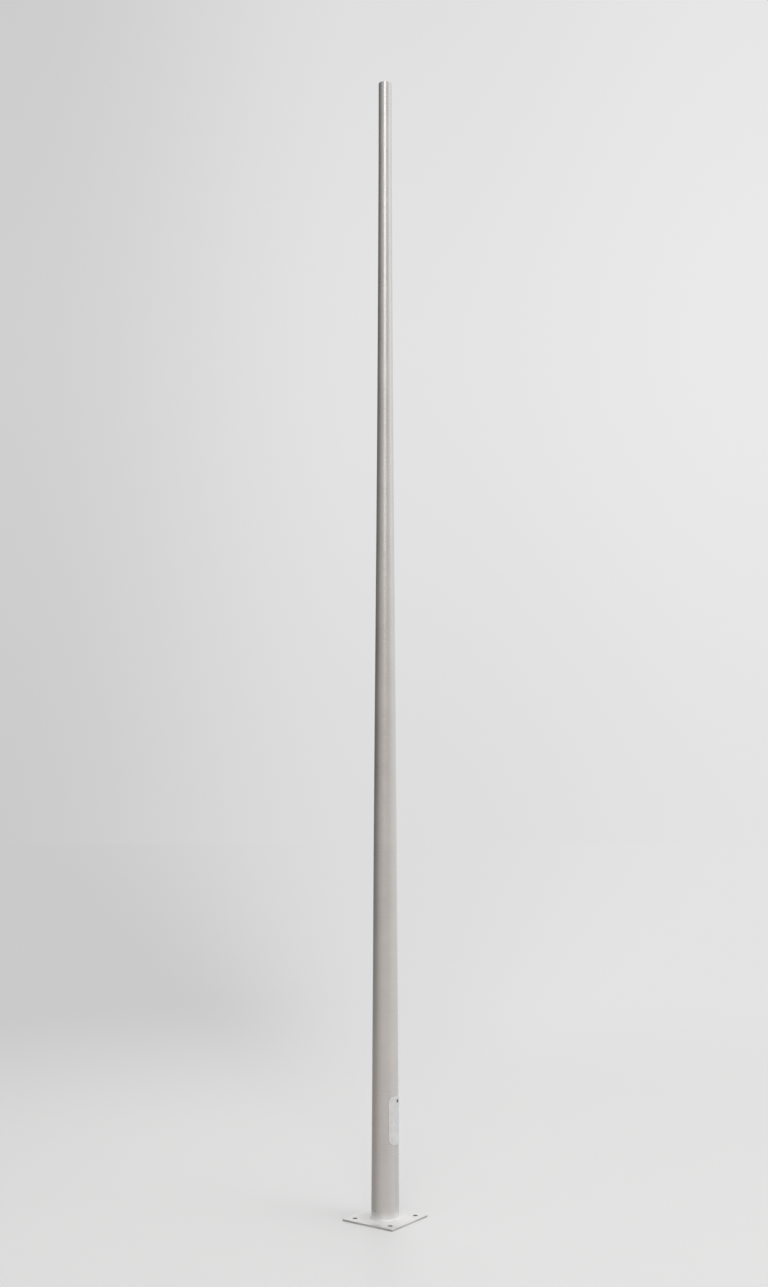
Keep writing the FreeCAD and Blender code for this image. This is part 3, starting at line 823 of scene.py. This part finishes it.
@dataclass(frozen=True)
class StripedFinish(Finish):
    """Green lead with a yellow stripe that winds round it."""

    stripe: Tint = (0.85, 0.68, 0.03, 1.0)
    stripe_blur: float = 0.05
    along: float = 260.0
    across: float = 420.0
    soiled: Tint = (0.12, 0.16, 0.03, 1.0)
    soil_cover: float = 0.25
    soil_scale: float = 40.0
    depth: float = 0.00004

    def paint(self, surface: Surface, effects: Effects) -> None:
        """Wind the stripe round, then soil the lead.

        Args:
            surface: the material in the making.
            effects: the shared effects.
        """
        graph = surface.graph
        mottle = surface.pattern(effects.mottle, Scale=self.soil_scale)
        slant = graph.math("MULTIPLY", graph.part(surface.place, "Z"), self.along)
        slant = graph.math("MULTIPLY_ADD", graph.part(surface.place, "X"), self.across, slant)
        wound = graph.remap(graph.math("SINE", slant), -self.stripe_blur, self.stripe_blur)
        surface.colour = graph.blend(wound, self.tint(), self.stripe)
        soil = graph.math("MULTIPLY", mottle["Cloud"], self.soil_cover)
        surface.touch(soil, self.soiled, rough=0.4)
        surface.emboss(mottle["Speck"], self.depth)


FINISHES: tuple[Finish, ...] = (
    ShaftFinish("post_aluminium", (0.80, 0.785, 0.77), 0.27, Lay.AROUND, lines=0.06, bands=0.06,
                cloud=0.05, cloud_scale=5.0, scratch=0.35, depth=0.000006),
    PlateFinish("plate_aluminium", (0.84, 0.837, 0.832), 0.36, Lay.ALONG_X, lines=0.08, bands=0.06,
                cloud=0.07, cloud_scale=22.0, scratch=0.45, depth=0.00002),
    MetalFinish("weld_aluminium", (0.82, 0.81, 0.80), 0.50, Lay.EVEN, lines=0.12, bands=0.05,
                cloud=0.14, cloud_scale=60.0, depth=0.00006, metallic=0.45),
    MetalFinish("frame_aluminium", (0.72, 0.71, 0.70), 0.42, Lay.ALONG_Z, lines=0.10, bands=0.06,
                cloud=0.10, cloud_scale=26.0, depth=0.00003),
    DoorFinish("door_aluminium", (0.91, 0.92, 0.93), 0.40, Lay.EVEN, lines=0.05, bands=0.04,
               cloud=0.10, cloud_scale=45.0, speck=0.10, scratch=0.35, depth=0.00004),
    MetalFinish("lock_steel", (0.50, 0.50, 0.49), 0.30, Lay.EVEN, cloud=0.10, cloud_scale=120.0),
    MetalFinish("key_steel", (0.26, 0.26, 0.255), 0.38, Lay.EVEN, cloud=0.2, cloud_scale=160.0),
    MetalFinish("bright_steel", (0.66, 0.66, 0.65), 0.28, Lay.EVEN, cloud=0.12, cloud_scale=90.0),
    MetalFinish("terminal_brass", (0.82, 0.62, 0.27), 0.30, Lay.ALONG_Z, cloud=0.14, cloud_scale=80.0),
    MetalFinish("blade_copper", (0.86, 0.52, 0.36), 0.26, Lay.ALONG_Z, cloud=0.15, cloud_scale=70.0),
    MetalFinish("cap_nickel", (0.74, 0.72, 0.68), 0.16, Lay.EVEN, cloud=0.08, cloud_scale=90.0),
    MetalFinish("earth_brass", (0.80, 0.61, 0.29), 0.30, Lay.EVEN, cloud=0.16, cloud_scale=90.0),
    MetalFinish("lug_tin", (0.70, 0.70, 0.68), 0.34, Lay.EVEN, cloud=0.10, cloud_scale=90.0),
    PlasticFinish("seal_foam", (0.022, 0.022, 0.023), 0.85, cloud=0.2, grain=1600.0, depth=0.00012),
    PlasticFinish("cutout_grey", (0.30, 0.32, 0.33), 0.48),
    PlasticFinish("cover_grey", (0.50, 0.51, 0.51), 0.32, coat=0.2),
    PlasticFinish("carrier_black", (0.018, 0.018, 0.020), 0.34, coat=0.25),
    PlasticFinish("fuse_ceramic", (0.78, 0.75, 0.68), 0.22, coat=0.6, dust=0.05),
    PlasticFinish("gland_black", (0.025, 0.025, 0.026), 0.45),
    LaminateFinish("board_laminate", (0.20, 0.10, 0.045), 0.38),
    StripedFinish("lead_green_yellow", (0.05, 0.24, 0.045), 0.38),
)


class Palette:
    """Every finish as a material, found by its slot's name."""

    def __init__(self, effects: Effects) -> None:
        """Make the materials.

        Args:
            effects: the shared effects.
        """
        self.materials = {finish.slot: finish.make(effects) for finish in FINISHES}

    def dress(self, piece: bpy.types.Object, slot: str) -> None:
        """Give a piece one finish.

        Args:
            piece: the object.
            slot: the finish's slot.
        """
        piece.data.materials.clear()
        piece.data.materials.append(self.materials[slot])

    def dress_nodes(self, names: Sequence[str]) -> None:
        """Give CAD nodes the finish that the record names for each.

        Args:
            names: the nodes.
        """
        slots = {part["node"]: part["material_slot"] for part in frame["record"]["subparts"]}
        for name in names:
            self.dress(frame["nodes"][name], slots[name])
            LOG.info("dressed %s in %s", name, slots[name])


# ---------------------------------------------------------------- mesh helpers


def new_piece(name: str, points: Sequence[Vector], faces: Sequence[Sequence[int]]) -> bpy.types.Object:
    """Make a smooth-shaded mesh object.

    Args:
        name: the piece's name.
        points: its vertices, in the row frame.
        faces: its faces, as indices of points.

    Returns:
        The object, linked to the scene.
    """
    mesh = bpy.data.meshes.new(name)
    mesh.from_pydata([tuple(point) for point in points], [], [tuple(face) for face in faces])
    body = bmesh.new()
    body.from_mesh(mesh)
    bmesh.ops.remove_doubles(body, verts=body.verts, dist=WELD_DISTANCE)
    bmesh.ops.recalc_face_normals(body, faces=body.faces)
    body.to_mesh(mesh)
    body.free()
    mesh.polygons.foreach_set("use_smooth", [True] * len(mesh.polygons))
    piece = bpy.data.objects.new(name, mesh)
    bpy.context.scene.collection.objects.link(piece)
    return piece


def closed_ring(name: str, columns: int, section: Callable[[float], Sequence[tuple[float, float]]],
                place: Matrix = Matrix.Identity(4)) -> bpy.types.Object:
    """Make a closed ring about an axis from a section that may change round it.

    Args:
        name: the piece's name.
        columns: sections round the ring.
        section: for an angle in radians, the section's loop of radius and height.
        place: where the ring's own Z axis and origin lie.

    Returns:
        The ring.
    """
    points: list[Vector] = []
    for column in range(columns):
        turn = 2 * math.pi * column / columns
        for radius, height in section(turn):
            points.append(place @ Vector((radius * math.cos(turn), radius * math.sin(turn), height)))
    rows = len(points) // columns
    faces = []
    for column in range(columns):
        after = (column + 1) % columns
        for row in range(rows):
            above = (row + 1) % rows
            faces.append((column * rows + row, after * rows + row, after * rows + above,
                          column * rows + above))
    return new_piece(name, points, faces)


def drawn(x: float, y: float, z: float) -> Vector:
    """Return the place of a point given in millimetres in the drawing that faces the door."""
    return Matrix.Rotation(DOOR_TURN, 3, "Z") @ Vector((x, y, z)) / 1000


def axis_frame(start: Vector, along: Vector) -> Matrix:
    """Return the matrix that puts the origin at a point and Z along a direction."""
    return Matrix.Translation(start) @ along.to_track_quat("Z", "Y").to_matrix().to_4x4()


def in_metres(line: Sequence[tuple[float, float]]) -> list[tuple[float, float]]:
    """Return a section's outline in metres, from millimetres."""
    return [(radius / 1000, level / 1000) for radius, level in line]


def hexagon_radius(turn: float, flats: float) -> float:
    """Work out the distance from a hexagon's middle to its edge.

    Args:
        turn: the angle, in radians.
        flats: the hexagon's size across its flats.

    Returns:
        The distance, in the flats' unit.
    """
    sector = math.pi / 3
    off_flat = (turn % sector) - sector / 2
    return flats / 2 / math.cos(off_flat)


def thread_radius(crest: float, depth: float, pitch: float, height: float, turn: float) -> float:
    """Work out a right-hand thread's radius.

    Args:
        crest: the radius of its crest.
        depth: how deep it is cut.
        pitch: its rise in one turn, in the height's unit.
        height: where it is read along the axis.
        turn: where it is read round the axis, in radians.

    Returns:
        The radius, in the crest's unit.
    """
    phase = (height / pitch - turn / (2 * math.pi)) % 1.0
    return crest - depth * min(1.0, abs(2 * phase - 1) * THREAD_FLANK)


# ---------------------------------------------------------------- the post's parts


@dataclass
class Shaft:
    """The tapered tube, as the frame holds it."""

    nodes: tuple[str, ...] = ("shaft", "door_frame", "door_gasket")

    def build(self, palette: Palette) -> None:
        """Dress the tube, the door's frame and its seal."""
        palette.dress_nodes(self.nodes)


@dataclass
class Foot:
    """The base plate and the weld that joins it to the shaft."""

    ripple_pitch: float = 0.0042
    ripple_depth: float = 0.00035
    crown: float = 0.0006
    crest_lag: float = 0.55
    rooted: float = 0.0003
    rows: int = 12
    columns_per_ripple: int = 6

    def build(self, palette: Palette) -> None:
        """Dress the plate and lay the weld bead.

        Args:
            palette: the materials.
        """
        palette.dress_nodes(("base_plate",))
        bead = self.weld_bead()
        palette.dress(bead, "weld_aluminium")
        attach(bead, "post")
        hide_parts("base_weld")
        LOG.info("laid %s", bead.name)

    def weld_bead(self) -> bpy.types.Object:
        """Make the bead: a rounded fillet with overlapping crescent ripples.

        Returns:
            The bead.
        """
        low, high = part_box("base_weld")
        toe = high.x
        height = high.z - low.z
        foot = toe - height
        middle = (foot + toe) / 2
        ripples = round(2 * math.pi * middle / self.ripple_pitch)

        def section(turn: float) -> list[tuple[float, float]]:
            """Draw the bead's outline, from the shaft down to the plate and back.

            Args:
                turn: the angle round the post, in radians.

            Returns:
                The outline's radius and height, in metres.
            """
            outline = []
            for row in range(self.rows):
                share = row / (self.rows - 1)
                bulge = math.sin(math.pi * share)
                phase = (turn / (2 * math.pi) * ripples + self.crest_lag * bulge) % 1.0
                proud = (self.crown + self.ripple_depth * (1.0 - phase) ** 2) * bulge
                slant = proud * math.sqrt(0.5)
                outline.append((foot + height * share + slant, low.z + height * (1.0 - share) + slant))
            outline.append((foot - self.rooted, low.z))
            return outline

        return closed_ring("weld_bead", ripples * self.columns_per_ripple, section)


@dataclass
class ServiceDoor:
    """The curved door with its hook and lock."""

    nodes: tuple[str, ...] = ("door", "door_hook", "lock_barrel", "lock_barrel_nut",
                              "lock_spindle", "lock_cam", "cam_screw")

    def build(self, palette: Palette) -> None:
        """Dress the door and what is fixed to it."""
        palette.dress_nodes(self.nodes)


@dataclass
class EquipmentBoard:
    """The laminate board with its brackets and screws."""

    nodes: tuple[str, ...] = ("equipment_board", "board_bracket_lower", "board_bracket_upper", "board_screws")

    def build(self, palette: Palette) -> None:
        """Dress the board and what holds it."""
        palette.dress_nodes(self.nodes)


@dataclass
class Gland:
    """One cable gland: threaded nipple, hexagon, fluted clamping cap and rubber seal.

    Sizes are millimetres, and heights run outwards from the cut-out's wall.
    """

    name: str
    x: float
    depth: float
    wall: float
    outward: int
    nipple: float = 7.0
    nipple_r: float = 4.5
    flange_r: float = 6.5
    hexagon_from: float = 3.0
    hexagon_to: float = 10.0
    flats: float = 14.0
    height: float = 16.0
    mouth_r: float = 4.6
    bore_r: float = 2.0
    bore_play: float = 0.05
    pitch: float = 1.5
    thread_depth: float = 0.45
    rows_per_turn: int = 6
    flange_edge: float = 0.3
    corner_rise: float = 0.45
    corner_ease: float = 0.6
    flutes: int = 18
    flute_depth: float = 0.28
    dome_steps: int = 8
    dome_power: float = 2.6
    lip: float = 0.5
    lip_drop: float = 0.7
    recess: float = 0.9
    recess_depth: float = 3.0
    seal_inset: float = 0.92
    seal_play: float = 0.03
    seal_drop: float = 0.35
    seal_length: float = 2.6
    seal_lip: float = 0.5
    seal_steps: int = 6
    columns: int = 72

    def build(self, palette: Palette) -> None:
        """Make the gland's body and its seal.

        Args:
            palette: the materials.
        """
        for piece in (self.body(), self.seal()):
            palette.dress(piece, "gland_black")
            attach(piece, "post")
            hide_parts("cable_glands")
            LOG.info("fitted %s", piece.name)

    def place(self) -> Matrix:
        """Return where the gland's axis leaves the wall."""
        return axis_frame(drawn(self.x, self.depth, self.wall), Vector((0, 0, self.outward)))

    def body(self) -> bpy.types.Object:
        """Make the nipple, hexagon and clamping cap as one ring.

        Returns:
            The body.
        """
        rows = round(self.nipple / self.pitch * self.rows_per_turn)
        levels = [-self.nipple + row * self.pitch / self.rows_per_turn for row in range(rows)]

        def section(turn: float) -> list[tuple[float, float]]:
            """Draw the outline: up the outside and down the bore.

            Args:
                turn: the angle round the gland, in radians.

            Returns:
                The outline's radius and height, in metres.
            """
            corner = hexagon_radius(turn, self.flats)
            eased = min(corner, self.flats / 2 + self.corner_rise)
            flute = self.flute_depth * (0.5 + 0.5 * math.cos(self.flutes * turn)) ** 2
            line = [(thread_radius(self.nipple_r, self.thread_depth, self.pitch, level, turn), level)
                    for level in levels]
            line += [(self.nipple_r, 0.0), (self.flange_r - self.flange_edge, 0.0),
                     (self.flange_r, self.flange_edge), (self.flange_r, self.hexagon_from),
                     (eased, self.hexagon_from), (corner, self.hexagon_from + self.corner_ease),
                     (corner, self.hexagon_to - self.corner_ease), (eased, self.hexagon_to),
                     (self.flange_r - flute, self.hexagon_to)]
            cap = self.height - self.hexagon_to
            for step in range(1, self.dome_steps + 1):
                share = step / self.dome_steps
                radius = self.flange_r - (self.flange_r - self.mouth_r) * share**self.dome_power
                line.append((radius - flute * (1 - share**3), self.hexagon_to + cap * share))
            recess_r = self.mouth_r - self.recess
            floor = self.height - self.recess_depth
            bore = self.bore_r + self.bore_play
            line += [(self.mouth_r - self.lip, self.height), (recess_r, self.height - self.lip_drop),
                     (recess_r, floor), (bore, floor), (bore, -self.nipple)]
            return in_metres(line)

        return closed_ring(f"{self.name}_body", self.columns, section, self.place())

    def seal(self) -> bpy.types.Object:
        """Make the rubber ring in the cap's mouth.

        Returns:
            The seal.
        """
        outer = self.mouth_r - self.seal_inset
        inner = self.bore_r + self.seal_play
        middle = (outer + inner) / 2
        top = self.height - self.seal_drop
        shoulder = top - self.seal_lip
        foot = top - self.seal_length

        def section(turn: float) -> list[tuple[float, float]]:
            """Draw the outline: a ring with a rounded lip.

            Args:
                turn: the angle round the gland; the outline is the same at every one.

            Returns:
                The outline's radius and height, in metres.
            """
            line = [(outer, foot), (outer, shoulder)]
            for step in range(self.seal_steps + 1):
                lean = math.pi * step / self.seal_steps
                line.append((middle + (outer - inner) / 2 * math.cos(lean),
                             shoulder + self.seal_lip * math.sin(lean)))
            line.append((inner, foot))
            return in_metres(line)

        return closed_ring(f"{self.name}_seal", self.columns // 2, section, self.place())


@dataclass
class CutOut:
    """The fused cut-out with its cover, terminals, glands and pull-out fuse carrier."""

    nodes: tuple[str, ...] = (
        "cutout_base", "cutout_screws", "terminals", "terminal_screws", "fuse_clips", "fuse_carrier",
        "carrier_blades", "fuse_barrel", "fuse_caps", "terminal_cover", "cover_screw", "gland_nuts",
    )
    gland_depth: float = 3.0
    gland_side: float = 15.0

    def build(self, palette: Palette) -> None:
        """Dress the cut-out and make its glands.

        Args:
            palette: the materials.
        """
        palette.dress_nodes(self.nodes)
        low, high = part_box("cutout_base")
        bottom, top = low.z * 1000, high.z * 1000
        for gland in (Gland("gland_left", -self.gland_side, self.gland_depth, bottom, -1),
                      Gland("gland_right", self.gland_side, self.gland_depth, bottom, -1),
                      Gland("gland_top", 0.0, self.gland_depth, top, 1)):
            gland.build(palette)


@dataclass
class Earthing:
    """The earth stud with its washers, nut, lug and lead; sizes in millimetres."""

    nodes: tuple[str, ...] = ("earth_washers", "earth_lug", "earth_lead")
    x: float = 17.0
    z: float = 480.0
    stud_r: float = 4.0
    stud_front: float = -1.0
    stud_back: float = 20.5
    pitch: float = 1.25
    thread_depth: float = 0.62
    rows_per_turn: int = 8
    end_ease: float = 1.0
    stud_columns: int = 48
    flats: float = 13.0
    nut_front: float = 2.8
    nut_back: float = 9.3
    face_ease: float = 0.1
    chamfer_slope: float = 0.58  # a 30-degree chamfer
    mouth: float = 0.5
    thread_play: float = 0.05
    nut_columns: int = 96

    def build(self, palette: Palette) -> None:
        """Dress the earthing and cut the stud's thread and the nut's corners.

        Args:
            palette: the materials.
        """
        palette.dress_nodes(self.nodes)
        for piece, node in ((self.stud(), "earth_stud"), (self.nut(), "earth_nut")):
            palette.dress(piece, "earth_brass")
            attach(piece, "post")
            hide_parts(node)
            LOG.info("cut %s", piece.name)

    def place(self, depth: float) -> Matrix:
        """Return the stud's axis from a depth towards its back."""
        start = drawn(self.x, depth, self.z)
        return axis_frame(start, drawn(0, 1, 0).normalized())

    def stud(self) -> bpy.types.Object:
        """Make the stud: a thread with eased ends.

        Returns:
            The stud.
        """
        length = self.stud_back - self.stud_front
        rows = round(length / self.pitch * self.rows_per_turn)

        def section(turn: float) -> list[tuple[float, float]]:
            """Draw the outline, from the front's middle to the back's.

            Args:
                turn: the angle round the stud, in radians.

            Returns:
                The outline's radius and height, in metres.
            """
            line = [(0.0, 0.0)]
            for row in range(rows + 1):
                level = length * row / rows
                to_end = min(level, length - level)
                eased = self.stud_r - max(0.0, self.end_ease - to_end)
                cut = thread_radius(self.stud_r, self.thread_depth, self.pitch, level, turn)
                line.append((min(eased, cut), level))
            line.append((0.0, length))
            return in_metres(line)

        return closed_ring("threaded_stud", self.stud_columns, section, self.place(self.stud_front))

    def nut(self) -> bpy.types.Object:
        """Make the nut: a hexagon with chamfered corners round the stud.

        Returns:
            The nut.
        """
        height = self.nut_back - self.nut_front
        mouth_r = self.stud_r + self.mouth
        bore_r = self.stud_r - self.thread_play
        eased = self.flats / 2 - self.face_ease

        def section(turn: float) -> list[tuple[float, float]]:
            """Draw the outline: outside, then the bore.

            Args:
                turn: the angle round the nut, in radians.

            Returns:
                The outline's radius and height, in metres.
            """
            corner = hexagon_radius(turn, self.flats)
            drop = (corner - eased) * self.chamfer_slope
            return in_metres([(eased, 0.0), (corner, drop), (corner, height - drop), (eased, height),
                              (mouth_r, height), (bore_r, height - self.mouth), (bore_r, self.mouth),
                              (mouth_r, 0.0)])

        return closed_ring("chamfered_nut", self.nut_columns, section, self.place(self.nut_front))


# ---------------------------------------------------------------- studio


@dataclass(frozen=True)
class Softbox:
    """An upright lamp among the surroundings.

    Its bearings run from 0 to 1 round the post, as Studio.bearing gives them, and its heights are the
    upward part of a direction.
    """

    bearing: float
    half_width: float
    fades_by: float
    foot: float
    top: float
    power: float

    def share(self, graph: Graph, bearing: Socket, up: Socket) -> Socket:
        """Work out how much of the lamp shows in a direction.

        Args:
            graph: the tree to build in.
            bearing: the direction's bearing.
            up: the direction's upward part.

        Returns:
            The share's socket, 0 to 1.
        """
        off = graph.math("ABSOLUTE", graph.math("SUBTRACT", bearing, self.bearing))
        across = graph.remap(off, self.half_width, self.fades_by, 1.0, 0.0)
        return graph.math("MULTIPLY", across, graph.remap(up, self.foot, self.top))


@dataclass
class Studio:
    """Camera, surroundings, floor and lights.

    The stops pair a bearing with a brightness, the spans are upward parts of a direction unless they
    say otherwise, and the floor's lengths are metres from the post.
    """

    heading: float = math.radians(-54.3)  # the view's turn about Z from looking along +Y
    distance: float = 6.05
    eye_height: float = 1.71
    pitch: float = math.radians(6.66)
    side_step: float = -0.0052
    lens: float = 38.97
    sensor: float = 36.0
    sight: float = 200.0
    aim_height: float = 1.0

    backdrop_stops: Stops = ((0.0, 0.735), (0.045, 0.60), (0.25, 0.56), (0.5, 0.66), (0.75, 0.80),
                             (0.955, 0.785), (1.0, 0.735))
    horizon_dim: float = 0.985
    middle_glow: float = 1.05
    middle_up: float = 0.32
    middle_reach: float = 0.36

    wall_stops: Stops = ((0.0, 0.84), (0.05, 0.40), (0.12, 0.12), (0.25, 0.19), (0.34, 0.38), (0.42, 0.48),
                         (0.50, 0.47), (0.58, 0.51), (0.66, 0.59), (0.76, 0.67), (0.90, 0.78), (1.0, 0.84))
    ground_stops: Stops = ((0.0, 0.62), (0.38, 0.62), (0.52, 0.71), (0.60, 0.73), (0.70, 0.72),
                           (0.79, 0.50), (0.92, 0.46), (1.0, 0.62))
    ground_span: tuple[float, float] = (0.02, -0.28)
    ground_share: float = 0.45
    ceiling_span: tuple[float, float] = (0.55, 0.9)
    ceiling: float = 0.75
    lamps: tuple[Softbox, ...] = (
        Softbox(bearing=0.492, half_width=0.02, fades_by=0.055, foot=0.09, top=0.56, power=1.38),
        Softbox(bearing=0.735, half_width=0.03, fades_by=0.10, foot=0.04, top=0.32, power=0.26),
    )

    warm: Tint = (1.05, 0.99, 0.94, 1.0)
    warm_middle: float = -0.02
    warm_span: tuple[float, float] = (0.15, 0.55)  # up or down from the middle
    warm_left: tuple[float, float] = (0.0, 0.16)  # bearings
    warm_right: tuple[float, float] = (0.62, 0.80)  # bearings
    warm_least: float = 0.1

    floor_rings: tuple[float, ...] = (0.4, 0.8, 1.5, 3.0, 6.0, 12.0, 30.0, 60.0)
    floor_columns: int = 96
    floor_fade: tuple[float, float] = (1.2, 7.0)
    floor_grey: float = 0.73
    floor_rough: float = 0.5
    floor_shine: float = 0.25

    def across(self) -> Vector:
        """Return the view's right-hand direction."""
        return Vector((math.cos(self.heading), math.sin(self.heading), 0.0))

    def away(self) -> Vector:
        """Return the view's level forward direction."""
        return Vector((-math.sin(self.heading), math.cos(self.heading), 0.0))

    def place_camera(self) -> None:
        """Stand the camera in front of the post, tilted up."""
        data = bpy.data.cameras.new("camera")
        data.lens = self.lens
        data.sensor_width = self.sensor
        data.clip_end = self.sight
        camera = bpy.data.objects.new("camera", data)
        camera.location = (self.across() * self.side_step - self.away() * self.distance
                           + Vector((0, 0, self.eye_height)))
        camera.rotation_euler = (math.pi / 2 + self.pitch, 0.0, self.heading)
        bpy.context.scene.collection.objects.link(camera)
        bpy.context.scene.camera = camera

    def bearing(self, graph: Graph, direction: Socket) -> Socket:
        """Work out a direction's bearing round the post.

        Args:
            graph: the tree to build in.
            direction: the direction's socket.

        Returns:
            The bearing's socket: 0.5 towards the viewer, more to the right, less to the left.
        """
        turned = graph.turned(direction, -self.heading)
        near = graph.math("MULTIPLY", graph.part(turned, "Y"), -1.0)
        angle = graph.math("ARCTAN2", graph.part(turned, "X"), near)
        return graph.math("MULTIPLY_ADD", angle, 0.5 / math.pi, 0.5)

    def backdrop(self, graph: Graph, bearing: Socket) -> Socket:
        """Return the pale backdrop's level: dimmer to the left of the view, lighter to the right."""
        return graph.ramp(bearing, self.backdrop_stops)

    def brightness(self, graph: Graph, bearing: Socket, up: Socket) -> Socket:
        """Work out how bright the surroundings are: walls, ground, ceiling and lamps.

        Args:
            graph: the tree to build in.
            bearing: the direction's bearing.
            up: the direction's upward part.

        Returns:
            The brightness's socket.
        """
        sides = graph.add("Mix", data_type="FLOAT")
        graph.feed(sides.inputs[0], graph.remap(up, *self.ground_span, 0.0, self.ground_share))
        graph.feed(sides.inputs[2], graph.ramp(bearing, self.wall_stops))
        graph.feed(sides.inputs[3], graph.ramp(bearing, self.ground_stops))
        level = graph.math("ADD", sides.outputs[0], graph.remap(up, *self.ceiling_span, 0.0, self.ceiling))
        for lamp in self.lamps:
            level = graph.math("MULTIPLY_ADD", lamp.share(graph, bearing, up), lamp.power, level)
        return level

    def warmth(self, graph: Graph, bearing: Socket, up: Socket) -> Socket:
        """Work out the surroundings' tint: warm round the level, fading up, down and at the far side.

        Args:
            graph: the tree to build in.
            bearing: the direction's bearing.
            up: the direction's upward part.

        Returns:
            The tint's socket.
        """
        off = graph.math("ABSOLUTE", graph.math("SUBTRACT", up, self.warm_middle))
        share = graph.remap(off, *self.warm_span, 1.0, 0.0)
        right = graph.remap(bearing, *self.warm_right, 1.0, self.warm_least)
        left = graph.remap(bearing, *self.warm_left, self.warm_least, 1.0)
        share = graph.math("MULTIPLY", graph.math("MULTIPLY", share, right), left)
        return graph.blend(share, WHITE, self.warm)

    def light_surroundings(self) -> None:
        """Light the post from all round, while the camera sees a plain pale backdrop."""
        world = bpy.data.worlds.new("studio")
        bpy.context.scene.world = world
        world.use_nodes = True
        graph = Graph(world.node_tree)
        direction = graph.add("TexCoord").outputs["Generated"]
        bearing = self.bearing(graph, direction)
        up = graph.part(direction, "Z")
        tint = self.warmth(graph, bearing, up)
        lit = graph.blend(1.0, tint, self.brightness(graph, bearing, up), "MULTIPLY")
        off_middle = graph.math("ABSOLUTE", graph.math("SUBTRACT", up, self.middle_up))
        glow = graph.remap(off_middle, 0.0, self.middle_reach, self.middle_glow, self.horizon_dim)
        seen = graph.math("MULTIPLY", self.backdrop(graph, bearing), glow)
        is_camera = graph.add("LightPath").outputs["Is Camera Ray"]
        graph.feed(graph.find("BACKGROUND").inputs["Color"], graph.blend(is_camera, lit, seen))

    def floor_mesh(self) -> bpy.types.Object:
        """Make the wide round floor, finer near the post.

        Returns:
            The floor.
        """
        points = [Vector((0, 0, 0))]
        faces = []
        for index, radius in enumerate(self.floor_rings):
            start = len(points)
            inner = start - self.floor_columns
            for column in range(self.floor_columns):
                turn = 2 * math.pi * column / self.floor_columns
                points.append(Vector((radius * math.cos(turn), radius * math.sin(turn), 0)))
                after = (column + 1) % self.floor_columns
                outer_edge = (start + column, start + after)
                faces.append((inner + column, *outer_edge, inner + after) if index else (0, *outer_edge))
        return new_piece("floor", points, faces)

    def floor_paper(self) -> bpy.types.Material:
        """Make the pale floor material, which fades into the backdrop with distance.

        Returns:
            The material.
        """
        material = bpy.data.materials.new("floor_paper")
        material.use_nodes = True
        graph = Graph(material.node_tree)
        shader = graph.find("BSDF_PRINCIPLED")
        shader.inputs["Base Color"].default_value = (self.floor_grey, self.floor_grey, self.floor_grey, 1)
        shader.inputs["Roughness"].default_value = self.floor_rough
        shader.inputs["Specular IOR Level"].default_value = self.floor_shine
        place = graph.add("TexCoord").outputs["Object"]
        far = graph.remap(graph.length(place), *self.floor_fade)
        seen = graph.math("MULTIPLY", far, graph.add("LightPath").outputs["Is Camera Ray"])
        glow = graph.add("Emission")
        horizon = graph.math("MULTIPLY", self.backdrop(graph, self.bearing(graph, place)), self.horizon_dim)
        graph.feed(glow.inputs["Color"], horizon)
        mixed = graph.add("MixShader")
        for socket, value in zip(mixed.inputs, (seen, shader.outputs[0], glow.outputs[0])):
            graph.feed(socket, value)
        graph.feed(graph.find("OUTPUT_MATERIAL").inputs["Surface"], mixed.outputs[0])
        return material

    def lay_floor(self) -> None:
        """Lay the floor, hidden from reflections in the metal."""
        floor = self.floor_mesh()
        floor.data.materials.append(self.floor_paper())
        floor.visible_glossy = False

    def hang_light(self, name: str, right: float, back: float, height: float, size: float,
                   power: float) -> None:
        """Hang a square soft light that points at the post's lower half.

        Args:
            name: the light's name.
            right: distance to the view's right.
            back: distance away from the viewer.
            height: height above the floor.
            size: side of the square.
            power: in watts.
        """
        data = bpy.data.lights.new(name, "AREA")
        data.shape = "SQUARE"
        data.size = size
        data.energy = power
        light = bpy.data.objects.new(name, data)
        light.location = self.across() * right + self.away() * back + Vector((0, 0, height))
        aim = Vector((0, 0, self.aim_height)) - light.location
        light.rotation_euler = aim.to_track_quat("-Z", "Y").to_euler()
        light.visible_glossy = False
        bpy.context.scene.collection.objects.link(light)

    def build(self) -> None:
        """Set up everything that isn't the post."""
        bpy.context.scene.view_settings.view_transform = "Standard"
        self.place_camera()
        self.light_surroundings()
        self.lay_floor()
        self.hang_light("key", right=3.5, back=-1.5, height=5.5, size=2.5, power=36.0)
        LOG.info("studio ready")


# ---------------------------------------------------------------- run


def main() -> None:
    """Build the studio, make the finishes and dress every part of the post."""
    logging.basicConfig(level=logging.INFO, format="%(name)s: %(message)s")
    Studio().build()
    palette = Palette(Effects())
    for part in (Shaft(), Foot(), ServiceDoor(), EquipmentBoard(), CutOut(), Earthing()):
        part.build(palette)


if __name__ == "__main__":
    main()
